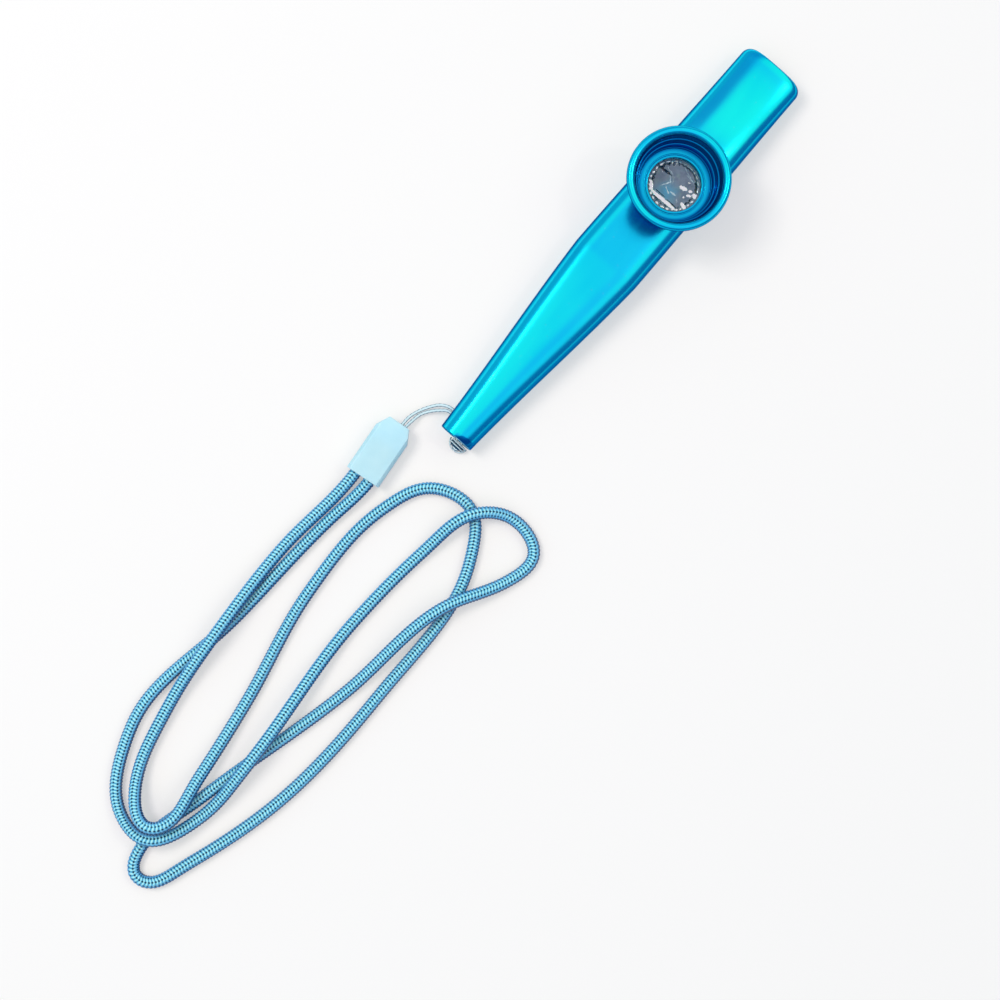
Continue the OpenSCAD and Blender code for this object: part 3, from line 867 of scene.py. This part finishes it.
# The two steps inside: their share of the height between recess and lip, and of the wall's thickness
CUP_STEPS = [(0.78, 1.2), (0.4, 0.75)]
THREAD_PITCH = 0.65 * MM
NECK_THREAD_DEPTH = 0.28 * MM
# The turret's own thread is shallow enough to clear the neck's crests
TURRET_THREAD_DEPTH = 0.14 * MM
THREAD_ROWS = 32
# A point this near to a wall's radius belongs to the wall
ON_WALL = 0.01 * MM
CUP_SHARP_DEG, RING_SHARP_DEG = 50, 60
RING_ROUND_MM = 0.12
# The most of an outline's edge that the rounding at one of its ends may take
ROUND_SHARE = 0.45
TURRET_BORE_R = 7.5 * MM
LEDGE_R = 6.2 * MM
LEDGE_TOP = turret_low[2] + 1.2 * MM
HOOP_WALL = 0.8 * MM
GROOVE_R = 7.25 * MM
GROOVE_HALF = 0.22 * MM
GROOVE_DEPTH = 0.14 * MM
# How much painted shade darkens the dye on the cup, and the lengths over which it changes
OUTSIDE_SHADE = 0.95
CUP_FLOOR_SHADE = 0.35
WALL_SHADE = 0.9
FLOOR_DARK_FROM_R = 8 * MM
OUTSIDE_FROM = LIP_Z + 0.75 * MM
OUTSIDE_FADE = 0.4 * MM
INSIDE_FADE = 0.8 * MM
CORNER_FADE = 0.5 * MM
WALL_FADE = 0.6 * MM


def rounded(corners, steps=5):
    """A closed profile from corners of radius, height and rounding, the last in mm."""
    out = []
    count = len(corners)
    for i, (r, z, rounding) in enumerate(corners):
        if not rounding:
            out.append((r, z))
            continue
        here = Vector((r, z))
        before = Vector(corners[i - 1][:2]) - here
        after = Vector(corners[(i + 1) % count][:2]) - here
        start = here + before.normalized() * min(rounding * MM, ROUND_SHARE * before.length)
        end = here + after.normalized() * min(rounding * MM, ROUND_SHARE * after.length)
        for t in np.linspace(0, 1, steps):
            p = start * (1 - t) ** 2 + here * 2 * t * (1 - t) + end * t ** 2
            out.append((p.x, p.y))
    return out


def thread_rows(r, start, end):
    """Close corners up a threaded wall."""
    return [(r, z, 0) for z in np.linspace(start, end, THREAD_ROWS)]


def cut_thread(mesh, r, start, end, depth):
    """Presses a right-handed screw thread inward into the wall of radius r."""
    points = np.empty(len(mesh.vertices) * 3, np.float32)
    mesh.vertices.foreach_get("co", points)
    points = points.reshape(-1, 3).astype(float)
    x, y, z = points[:, 0] - CUP_X, points[:, 1], points[:, 2]
    radius = np.hypot(x, y)
    turns = np.arctan2(y, x) / TURN
    on_wall = (abs(radius - r) < ON_WALL) & (z >= start) & (z <= end)
    wave = 0.5 - 0.5 * np.cos(TURN * (z / THREAD_PITCH - turns))
    fade = np.clip(np.minimum(z - start, end - z) / (0.5 * THREAD_PITCH), 0, 1)
    scale = np.where(on_wall, (radius - depth * wave * fade) / radius, 1)
    points[:, 0] = CUP_X + x * scale
    points[:, 1] *= scale
    mesh.vertices.foreach_set("co", points.astype(np.float32).ravel())
    mesh.update()


def make_cup():
    flare_r, flare_z = arc(LIP_R, LIP_Z, LIP_RADIUS, FLARE_DEG, FLARE_DEG, 1)[0]
    inner_r, inner_z = LIP_R - LIP_RADIUS, LIP_Z - LIP_RADIUS
    thread = (NECK_BOTTOM + 0.2 * MM, FOOT_BOTTOM - 0.1 * MM)

    def outside(z):
        return mix(FOOT_R, flare_r, held((z - FOOT_TOP) / (flare_z - FOOT_TOP)) ** 2)

    def painted_shade_at(place):
        """How much painted shade darkens the dye: much on the outside below the lip and on the inside wall,
        some on the floor, none on top of the lip.
        """
        r = math.hypot(place.x - CUP_X, place.y)
        if r > LIP_R or r > outside(place.z) - CUP_WALL / 2:
            return OUTSIDE_SHADE * held((OUTSIDE_FROM - place.z) / OUTSIDE_FADE)
        below_lip = held((LIP_Z - place.z) / INSIDE_FADE)
        corner = held((r - FLOOR_DARK_FROM_R) / CORNER_FADE)
        wall = max(corner, held((place.z - FLOOR_TOP) / WALL_FADE))
        return below_lip * mix(CUP_FLOOR_SHADE, WALL_SHADE, wall)

    corners = [(CUP_BORE_R, NECK_BOTTOM, 0.15), (NECK_R, NECK_BOTTOM, 0.2)]
    corners += thread_rows(NECK_R, *thread)
    corners += [(NECK_R, FOOT_BOTTOM, 0.05), (FOOT_R, FOOT_BOTTOM, 0.25)]
    corners += [(outside(z), z, 0) for z in np.linspace(FOOT_TOP - 1 * MM, flare_z, FLARE_ROWS)]
    lip = arc(LIP_R, LIP_Z, LIP_RADIUS, LIP_START_DEG, LIP_END_DEG, LIP_ROWS)
    corners += [(r, z, 0) for r, z in lip]
    corners += [(inner_r, inner_z, 0.3)]
    for height_share, wall_share in CUP_STEPS:
        z = mix(RECESS_TOP, inner_z, height_share)
        r = outside(z) - CUP_WALL * wall_share
        corners += [(r + STEP_WIDTH / 2, z, 0.1), (r - STEP_WIDTH / 2, z, 0.1)]
    corners += [(RECESS_R + RECESS_EDGE, RECESS_TOP, 0.1), (RECESS_R, RECESS_TOP - 0.1 * MM, 0.1)]
    corners += [(RECESS_R, FLOOR_TOP, 0.15), (FLOOR_DARK_FROM_R, FLOOR_TOP, 0)]
    for offset, depth in ((1, 0), (0.4, 1), (-0.4, 1), (-1, 0)):
        corners.append((GROOVE_R + offset * GROOVE_HALF, FLOOR_TOP - GROOVE_DEPTH * depth, 0.05))
    corners += [(CUP_BORE_R, FLOOR_TOP, 0.15)]
    mesh = lathe("cup", rounded(corners), CUP_X, detail(256))
    cut_thread(mesh, NECK_R, *thread, NECK_THREAD_DEPTH)
    # Painted shade inside the cup and on its outside below the lip
    add_shade(mesh, "painted_shade", [painted_shade_at(v.co) for v in mesh.vertices])
    link("cup", mesh, "cap", BLUE, body="cup", smooth_deg=CUP_SHARP_DEG)


def make_turret():
    outer_r = turret_high[0] - CUP_X
    bottom, top = turret_low[2], turret_high[2]
    thread = (LEDGE_TOP + 0.1 * MM, top - 0.25 * MM)
    corners = [(LEDGE_R, bottom, 0.1), (outer_r, bottom, 0.1), (outer_r, top, 0.2), (TURRET_BORE_R, top, 0.2)]
    corners += thread_rows(TURRET_BORE_R, *thread)[::-1]
    corners += [(TURRET_BORE_R, LEDGE_TOP, 0), (LEDGE_R, LEDGE_TOP, 0.1)]
    mesh = lathe("turret_collar", rounded(corners), CUP_X)
    cut_thread(mesh, TURRET_BORE_R, *thread, TURRET_THREAD_DEPTH)
    # Painted shade over the whole collar, as on the cup's outside
    add_shade(mesh, "painted_shade", [OUTSIDE_SHADE] * len(mesh.vertices))
    link("turret_collar", mesh, "turret", BLUE, smooth_deg=CUP_SHARP_DEG)


def make_ring(name, node, body, low, high, inner_r, material):
    """A plain ring with eased edges in the box of its CAD node."""
    outer_r = high[0] - CUP_X
    corners = [(inner_r, low[2]), (outer_r, low[2]), (outer_r, high[2]), (inner_r, high[2])]
    mesh = lathe(name, rounded([(r, z, RING_ROUND_MM) for r, z in corners]), CUP_X)
    link(name, mesh, node, material, body=body, smooth_deg=RING_SHARP_DEG)


# ---- film

FILM_FREE_R = 6.3 * MM
FILM_CENTRE_R = 0.02 * MM
FILM_CREASE = 0.34 * MM
FILM_HALF_THICK = 0.03 * MM
FILM_SHARP_DEG = 28
# The film is seen aslant through the cup's hole, so its creases are laid out round this middle
FILM_MIDDLE_X = 0.4 * MM
# Folds painted with a glossy white highlight, in mm: place, half length, half width, and heading in degrees
HIGHLIGHT_FOLDS = [
    (0.94, -2.16, 1.1, 0.5, -73), (1.44, -4.07, 0.5, 0.36, -73), (0.36, -4.42, 0.6, 0.34, -60),
    (1.3, -5.7, 0.85, 0.6, -80), (-2.37, -4.95, 0.95, 0.5, -110), (2.81, -2.49, 0.34, 0.2, -70),
    (-0.7, -3.66, 0.26, 0.22, 0), (-3.53, 4.26, 1.2, 0.42, 41), (-4.45, -0.3, 3.9, 0.46, 91),
    (4.3, 4.2, 0.9, 0.16, 40), (4.9, 3.1, 0.8, 0.14, 20),
]
# Folds that stand up, painted black as shade, as above
SHADE_FOLDS = [
    (1.3, 4.9, 0.95, 0.36, 84), (1.35, 3.6, 1.1, 0.3, 84), (1.45, 2.6, 0.9, 0.18, 80),
    (2.95, -4.6, 1.5, 0.34, -142), (-3.8, -2.6, 1.9, 0.12, 88), (-3.6, 1.2, 1.6, 0.1, 91),
    (3.4, 4.4, 0.9, 0.13, 50), (4.2, 3.6, 1.0, 0.14, 40), (4.9, 2.4, 0.8, 0.12, 27),
    (2.5, 5.1, 0.7, 0.13, 62), (-2.4, 4.9, 1.3, 0.16, 20), (4.9, -2.2, 1.2, 0.12, -115),
]
# Long soft ridges with a painted highlight line on top, as above
HIGHLIGHT_RIDGES = [
    (0.6, 1.7, 1.3, 0.14, 40), (2.1, 3.0, 1.3, 0.12, 75), (4.2, -1.3, 2.4, 0.1, -108),
    (3.7, -2.2, 1.6, 0.08, -100), (-0.9, 1.7, 1.5, 0.22, 150), (-2.0, 0.4, 1.1, 0.2, 60),
    (-1.7, -1.2, 1.0, 0.3, 95),
]
# Fold patterns over the whole film: heading in degrees, pitch in mm, and shift
BROAD_CREASES = [(20, 5.3, 0.2), (75, 4.1, 0.6)]
FINE_CREASES = [(-40, 2.3, 0.1), (118, 1.7, 0.45)]
# Blender draws the offsets of its vector noise from the clock unless they are seeded
FILM_SEED = 2
# The features per metre of two noises that bend the folds, and how far they do
ROUGH_PER_M, ROUGH_SHIFT = 1900, 0.16 * MM
WARP_PER_M, WARP_SHIFT = 380, 0.9 * MM
PATCH_PER_M = 260
# How much each kind of fold lifts the film
BROAD_LIFT, FINE_LIFT, PALE_LIFT, DARK_LIFT = 0.75, 0.55, 0.5, 0.7
# How fast a fold's painted highlight or shade sets in from its edge; the highlights start outside it
SHINE_RISE, SHINE_START, DARK_RISE, PALE_RISE = 5, 0.7, 4, 2.2
# The gathered edge: a ring of beads with a painted highlight, and a hem of painted shade inside it
RIM_R, RIM_HALF = 5.95 * MM, 0.34 * MM
RIM_BEADS, BEADS_UNEVEN = 29, 2.5
RIM_DIM, RIM_BRIGHT, RIM_CUT = 0.1, 1.2, 0.36
HEM_R, HEM_WAVE, HEM_HALF = 5.45 * MM, 0.25 * MM, 0.2 * MM
HEM_GROUPS = 7
HEM_DARK, HEM_SWING = 0.4, 0.8
RIM_SOFT = 1.1 * MM
# The folds with a painted highlight lie flat at this height, so that they mirror the ceiling
SHINE_HEIGHT = 0.45
TEAL_X, TEAL_Y, TEAL_R = -2.4 * MM, 0.2 * MM, 3.6 * MM


def creases(x, y, patterns):
    """Height of sharp fold patterns laid over each other: 0 on the folds' bottoms and 1 on their tops."""
    height = 0
    for way_deg, pitch_mm, shift in patterns:
        way = math.radians(way_deg)
        place = (x * math.cos(way) + y * math.sin(way)) / (pitch_mm * MM) + shift
        height += abs((place % 1) * 2 - 1) / len(patterns)
    return height


def nearest_fold(x, y, folds):
    """1 in the middle of the nearest fold of a list, 0 on its edge and negative off it."""
    def nearness(fold_x, fold_y, half_long, half_wide, way_deg):
        way = math.radians(way_deg)
        off_x, off_y = x / MM - fold_x, y / MM - fold_y
        along = (off_x * math.cos(way) + off_y * math.sin(way)) / half_long
        beside = (off_y * math.cos(way) - off_x * math.sin(way)) / half_wide
        return 1 - (abs(along) ** 3 + abs(beside) ** 2) ** 0.5

    return max(nearness(*fold) for fold in folds)


def film_point(r, turn):
    """Height of the crumpled film from -1 to 1, and its painted highlight, painted shade, painted ridge
    highlight and teal there.
    """
    x, y = r * math.cos(turn) - FILM_MIDDLE_X, r * math.sin(turn)
    rough = noise.noise_vector(Vector((x, y, 0)) * ROUGH_PER_M) * ROUGH_SHIFT
    warp = noise.noise_vector(Vector((x, y, 0)) * WARP_PER_M) * WARP_SHIFT
    spot = (x + rough.x, y + rough.y)
    film_highlight, film_shade, ridge_highlight = (nearest_fold(*spot, folds) for folds in (HIGHLIGHT_FOLDS, SHADE_FOLDS, HIGHLIGHT_RIDGES))
    rim_r = math.hypot(*spot)
    bead = 0.5 + 0.5 * math.sin(turn * RIM_BEADS + BEADS_UNEVEN * math.sin(turn * 3))
    rim = held(1 - abs(rim_r - RIM_R) / RIM_HALF)
    film_highlight = max(film_highlight, rim * mix(RIM_DIM, RIM_BRIGHT, bead) - RIM_CUT)
    hem = held(1 - abs(rim_r - HEM_R + HEM_WAVE * bead) / HEM_HALF)
    film_shade = max(film_shade, hem * (HEM_DARK + HEM_SWING * math.sin(turn * HEM_GROUPS + 1) * bead))
    x, y = x + warp.x, y + warp.y
    patch = 0.5 + 0.5 * noise.noise(Vector((x, y, 1 * MM)) * PATCH_PER_M)
    height = BROAD_LIFT * (creases(x, y, BROAD_CREASES) - 0.5)
    height += FINE_LIFT * patch * (creases(x, y, FINE_CREASES) - 0.5)
    height += PALE_LIFT * held(ridge_highlight) + DARK_LIFT * held(film_shade)
    height *= held((FILM_FREE_R - r) / RIM_SOFT)
    shine = held(SHINE_RISE * film_highlight + SHINE_START)
    black = held(DARK_RISE * film_shade) * (1 - shine)
    teal = held(1 - math.hypot(x - TEAL_X, y - TEAL_Y) / TEAL_R)
    return mix(height, SHINE_HEIGHT, shine), shine, black, held(PALE_RISE * ridge_highlight), teal


def make_film():
    noise.seed_set(FILM_SEED)
    rings, columns = detail(130), detail(288)
    middle = (film_low[2] + film_high[2]) / 2
    radii = np.linspace(FILM_CENTRE_R, film_high[0] - CUP_X, rings)
    turns = ring_angles(columns)
    looks = np.array([[film_point(r, t) if r < FILM_FREE_R else (0,) * 5 for t in turns] for r in radii])
    flat = np.stack([CUP_X + radii[:, None] * np.cos(turns), radii[:, None] * np.sin(turns)], -1)
    lift = middle + FILM_CREASE * looks[..., :1]
    above = np.concatenate([flat, lift + FILM_HALF_THICK], -1)
    below = np.concatenate([flat, lift - FILM_HALF_THICK], -1)
    points = np.concatenate([above, below[::-1]])
    mesh = quad_mesh("film", points, grid_faces(2 * rings, columns, True)[:, ::-1])
    looks = np.concatenate([looks, looks[::-1]])
    # Painted highlights, painted shade, painted ridge highlights and the teal patch, for the material to read
    for k, name in enumerate(("film_highlight", "film_shade", "ridge_highlight", "teal"), 1):
        add_shade(mesh, name, looks[..., k])
    link("film", mesh, "membrane_film", FILM, smooth_deg=FILM_SHARP_DEG)


# ---- sleeve and knot

SLEEVE_END = Vector((MOUTH_X - 22 * MM, 11 * MM, 0))
SLEEVE_LENGTH = 16 * MM
SLEEVE_WIDTH = 9.2 * MM
SLEEVE_HEIGHT = sleeve_high[2]
SLEEVE_NOSE_WIDTH = 5.6 * MM
SLEEVE_NOSE_LENGTH = 3.4 * MM
SLEEVE_CHAMFER = 0.8 * MM
SLEEVE_ROUND = 0.4 * MM
SLEEVE_ROUND_STEPS = 4
SLEEVE_ROUND_FROM_DEG = 20
SLEEVE_SHARP_DEG = 35
POCKET_WIDTH = 8.2 * MM
POCKET_HEIGHT = 4.2 * MM
POCKET_LENGTH = 9.6 * MM
POCKET_CORNER = 1.2 * MM
SLOT_WIDTH = 2 * MM
SLOT_HEIGHT = 1 * MM
SLOT_CORNER = 0.49 * MM
SLOT_MIDDLE_Y = -1.2 * MM
# How far a cutter reaches past what it cuts, and how much wider than the sleeve its plan is
SPARE = 1 * MM
PLAN_SPARE = 1.0001


def across(outline, x):
    """An outline of (y, z) points, set across the sleeve at x."""
    return [(x, y, z) for y, z in outline]


def rounded_slot(width, height, corner, middle):
    """Outline of a rounded rectangle across the sleeve."""
    out = []
    for side_y, side_z, start in ((1, 1, 0), (-1, 1, 90), (-1, -1, 180), (1, -1, 270)):
        centre_y = middle + side_y * (width / 2 - corner)
        centre_z = SLEEVE_HEIGHT / 2 + side_z * (height / 2 - corner)
        out += arc(centre_y, centre_z, corner, start, start + 90)
    return out


def make_sleeve():
    half_w, half_nose, edge, top = SLEEVE_WIDTH / 2, SLEEVE_NOSE_WIDTH / 2, SLEEVE_CHAMFER, SLEEVE_HEIGHT
    nose_x = SLEEVE_LENGTH - SLEEVE_NOSE_LENGTH
    section = [
        (-half_w, edge), (edge - half_w, 0), (half_w - edge, 0), (half_w, edge),
        (half_w, top - edge), (half_w - edge, top), (edge - half_w, top), (-half_w, top - edge),
    ]
    half_plan = [(-SPARE, half_w), (nose_x, half_w), (SLEEVE_LENGTH, half_nose)]
    plan = [(x, -y * PLAN_SPARE) for x, y in half_plan] + [(x, y * PLAN_SPARE) for x, y in half_plan[::-1]]
    mesh = prism("sleeve_moulding", across(section, 0), across(section, SLEEVE_LENGTH))
    piece = link("sleeve_moulding", mesh, "sleeve", SLEEVE)
    below, above = ([(x, y, z) for x, y in plan] for z in (-SPARE, top + SPARE))
    combine(piece, prism("plan", below, above), "INTERSECT")
    bevel = piece.modifiers.new("edges", "BEVEL")
    bevel.width = SLEEVE_ROUND
    bevel.segments = SLEEVE_ROUND_STEPS
    bevel.limit_method = "ANGLE"
    bevel.angle_limit = math.radians(SLEEVE_ROUND_FROM_DEG)
    apply_modifiers(piece)
    pocket = rounded_slot(POCKET_WIDTH, POCKET_HEIGHT, POCKET_CORNER, 0)
    combine(piece, prism("pocket", across(pocket, -SPARE), across(pocket, POCKET_LENGTH)))
    slot = rounded_slot(SLOT_WIDTH, SLOT_HEIGHT, SLOT_CORNER, SLOT_MIDDLE_Y)
    combine(piece, prism("slot", across(slot, POCKET_LENGTH - SPARE), across(slot, SLEEVE_LENGTH + SPARE)))
    piece.data.transform(Matrix.Translation(SLEEVE_END) @ Matrix.Rotation(SLEEVE_TURN, 4, "Z"))
    piece.data.shade_smooth()
    piece.data.set_sharp_from_angle(angle=math.radians(SLEEVE_SHARP_DEG))
    return piece


KNOT_Y, KNOT_Z = -1.4 * MM, 2 * MM
KNOT_AROUND = 16
# Across this the strands' sides are laid out, because no strand runs along it
KNOT_UPRIGHT = (1, 0, 0.2)
KNOT_STRAND_R = 0.2 * MM
STRAND_TIP = 0.05
STRAND_STEP = 0.1 * MM
WRAP_POINTS, OUTER_POINTS = 200, 80
# The wraps: a coil that narrows away from the mouth
KNOT_WRAPS = 2
KNOT_START_TURN = 0.4
KNOT_FIRST_X = MOUTH_X - 0.35 * MM
KNOT_LAST_X = MOUTH_X - 1.75 * MM
KNOT_HALF_WIDTH = 2.25 * MM
KNOT_HALF_HEIGHT = 0.93 * MM
KNOT_REACH = 2.15 * MM
KNOT_NARROWING = 0.8
# The outer strand: a half circle round the wraps, a little lower
OUTER_X = MOUTH_X - 0.3 * MM
OUTER_DEPTH = 2.1 * MM
OUTER_HALF_WIDTH = 2.4 * MM
OUTER_DROP = 0.4 * MM
OUTER_WAVE = 0.3 * MM
# A dark middle that the wraps lie on, put there as painted shade between them
CORE_ROWS = 24
CORE_LAST_X = MOUTH_X - 2 * MM
CORE_HALF_WIDTH = 1.95 * MM
CORE_HALF_HEIGHT = 0.75 * MM
# It is a ball cut off on the mouth's side: where it is cut, and how nearly it closes at its tip
CORE_FROM, CORE_CLOSING = -0.3, 0.98


def strand(points):
    """Surface and painted shade of a twisted strand along points, with rounded ends."""
    points = even_points(points, STRAND_STEP)
    along, angle = tube_grid(points, KNOT_AROUND)
    to_end = np.minimum(along, along[-1] - along)
    tip = np.minimum(1, np.sqrt(to_end / KNOT_STRAND_R + STRAND_TIP))
    radius = ply_radius(along, angle, KNOT_STRAND_R) * tip
    return tube_surface(points, angle, radius, KNOT_UPRIGHT), ply_shade(along, angle + math.pi / 2)


def make_knot():
    """Wraps of the thin cord round its own strands, drawn tight against the mouth, over a dark middle that is
    painted shade.
    """
    share = np.linspace(0, 1, WRAP_POINTS)
    turn = TURN * KNOT_WRAPS * share + KNOT_START_TURN
    x = mix(KNOT_FIRST_X, KNOT_LAST_X, share)
    wide = KNOT_HALF_WIDTH * np.sqrt(1 - ((x - MOUTH_X) / KNOT_REACH) ** 2 * KNOT_NARROWING)
    wraps = np.stack([x, KNOT_Y + wide * np.cos(turn), KNOT_Z + KNOT_HALF_HEIGHT * np.sin(turn)], -1)
    bend = np.linspace(-0.5 * math.pi, 0.5 * math.pi, OUTER_POINTS)
    outer = np.stack([
        OUTER_X - OUTER_DEPTH * np.cos(bend),
        KNOT_Y + OUTER_HALF_WIDTH * np.sin(bend),
        KNOT_Z - OUTER_DROP + OUTER_WAVE * np.sin(2 * bend),
    ], -1)
    angle = ring_angles(KNOT_AROUND)
    swell = np.sqrt(1 - np.linspace(CORE_FROM, 1, CORE_ROWS) ** 2 * CORE_CLOSING)[:, None]
    core_x = np.repeat(np.linspace(OUTER_X, CORE_LAST_X, CORE_ROWS)[:, None], KNOT_AROUND, 1)
    core_y = KNOT_Y + swell * CORE_HALF_WIDTH * np.cos(angle)
    core_z = KNOT_Z + swell * CORE_HALF_HEIGHT * np.sin(angle)
    core = np.stack([core_x, core_y, core_z], -1)
    surfaces, shades = zip(strand(wraps), strand(outer), (core, np.zeros(core_x.shape)))
    mesh = tube_mesh("knot_wraps", surfaces)
    # Painted shade of the strands, and the darkest painted shade on the core
    add_shade(mesh, "strand_shading", np.concatenate([shade.ravel() for shade in shades]))
    return link("knot_wraps", mesh, "loop_knot", NYLON)


# ---- the pieces

cord_piece, cord_path = make_cord()
loop_piece, loop_path = make_thin_loop()
make_body()
make_cup()
make_turret()
hoop_r = hoop_high[0] - CUP_X - HOOP_WALL
make_ring("hoop_ring", "membrane_hoop", BODY, hoop_low, hoop_high, hoop_r, HOOP)
make_ring("loose_ring", "slip_ring", "slip_ring", ring_low, ring_high, CUP_BORE_R, RING)
make_film()
sleeve_piece = make_sleeve()
knot_piece = make_knot()
crimp_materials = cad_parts["crimp"].data.materials
crimp_materials.clear()
crimp_materials.append(CRIMP)

# ---- floor and light

# Rays that light the kazoo find a grey floor; the camera, metal and glass see it half white by itself
FLOOR_LIT = (0.56, 0.51, 0.49)
FLOOR_BOUNCED = (0.4, 0.4, 0.4)
FLOOR_WHITE_SHARE = 0.42
FLOOR_FLAT_R = 7.5
FLOOR_SIDES = 96
BACKDROP_HEIGHT = 0.5


def make_floor():
    """A round floor whose far edge bends up into a low backdrop."""
    bend = arc(FLOOR_FLAT_R, BACKDROP_HEIGHT, BACKDROP_HEIGHT, -90, 0)
    rings = [[(r * math.cos(t), r * math.sin(t), z) for t in ring_angles(FLOOR_SIDES)] for r, z in bend]
    mesh = quad_mesh("floor", rings, grid_faces(len(rings), FLOOR_SIDES)[:, ::-1], [list(range(FLOOR_SIDES))])
    mesh.shade_smooth()
    mat = Material("floor")
    path = mat.nodes.new("ShaderNodeLightPath")
    seen = path.outputs["Is Camera Ray"]
    for kind in ("Is Glossy Ray", "Is Transmission Ray"):
        seen = mat.maths("MAXIMUM", seen, path.outputs[kind])
    mat.set({
        "Base Color": mat.blend(seen, FLOOR_BOUNCED, FLOOR_LIT),
        "Emission Color": (1, 1, 1),
        "Emission Strength": mat.spread(seen, 0, FLOOR_WHITE_SHARE),
        "Roughness": 1,
        "Specular IOR Level": 0,
    })
    mesh.materials.append(mat.made)
    add_object("floor", mesh)


def area_light(name, place, aim, size, power, glossy=True):
    """A square lamp; one that isn't glossy leaves no reflection."""
    data = bpy.data.lights.new(name, "AREA")
    data.shape = "SQUARE"
    data.size = size
    data.energy = power
    light = add_object(name, data)
    light.location = place
    light.rotation_euler = (Vector(aim) - Vector(place)).to_track_quat("-Z", "Y").to_euler()
    light.visible_glossy = glossy


# The studio above, as seen from the kazoo: its dim walls, its ceiling, and soft boxes in the ceiling plane.
# A box is its limits along X and Y, for a ceiling one unit up, the softness of its edge and its colour.
WALL_AWAY = (0.12, 0.2, 0.4)
WALL_NEAR = (0.25, 0.5, 0.66)
CEILING = (0.9, 0.76, 0.95)
SOFT_BOXES = [
    ((-0.7, 0.03), (-0.1, 0.9), 0.07, (1.0, 1.22, 0.92)),
    ((0.0, 0.36), (0.55, 1.1), 0.1, (0.95, 1.1, 0.95)),
    ((-0.06, 0.4), (-0.95, -0.42), 0.1, (0.95, 1.05, 0.95)),
    ((0.4, 1.4), (-0.95, 0.25), 0.12, (1.0, 1.25, 0.9)),
    # A dim one
    ((0.36, 1.4), (0.32, 1.5), 0.1, (0.4, 0.42, 0.66)),
]
HORIZON = 0.02
# The heights between which the walls turn into the ceiling, and the places between which one wall turns
# into the other
CEILING_SPAN = (0.55, 0.86)
WALL_SPAN = (-0.5, 0.5)


def make_world():
    world = bpy.data.worlds.new("studio")
    bpy.context.scene.world = world
    shader = Shader(world)
    split = shader.nodes.new("ShaderNodeSeparateXYZ")
    shader.feed(split, {0: shader.nodes.new("ShaderNodeTexCoord").outputs["Generated"]})
    x, y, z = split.outputs
    up = shader.maths("MAXIMUM", z, HORIZON)
    across_x, across_y = shader.maths("DIVIDE", x, up), shader.maths("DIVIDE", y, up)
    sky = shader.blend(shader.step(y, *WALL_SPAN), WALL_AWAY, WALL_NEAR)
    sky = shader.blend(shader.step(z, *CEILING_SPAN), sky, CEILING)
    for limits_x, limits_y, edge, colour in SOFT_BOXES:
        inside = 1
        for place, (low, high) in ((across_x, limits_x), (across_y, limits_y)):
            for limit, way in ((low, edge), (high, -edge)):
                inside = shader.maths("MULTIPLY", inside, shader.step(place, limit - way, limit + way))
        sky = shader.blend(inside, sky, colour)
    shader.feed(shader.nodes["Background"], {"Color": sky, "Strength": 1})


make_floor()
make_world()
area_light("key", (-0.155, 0.42, 0.883), (-0.06, 0, 0), 0.3, 3.4, glossy=False)
area_light("glint_left", (-0.12, 0.55, 0.75), (0, 0, 0), 0.07, 0.4)
area_light("glint_right", (0.35, -0.3, 0.8), (0, 0, 0), 0.07, 0.4)

bpy.context.scene.view_settings.view_transform = "Standard"
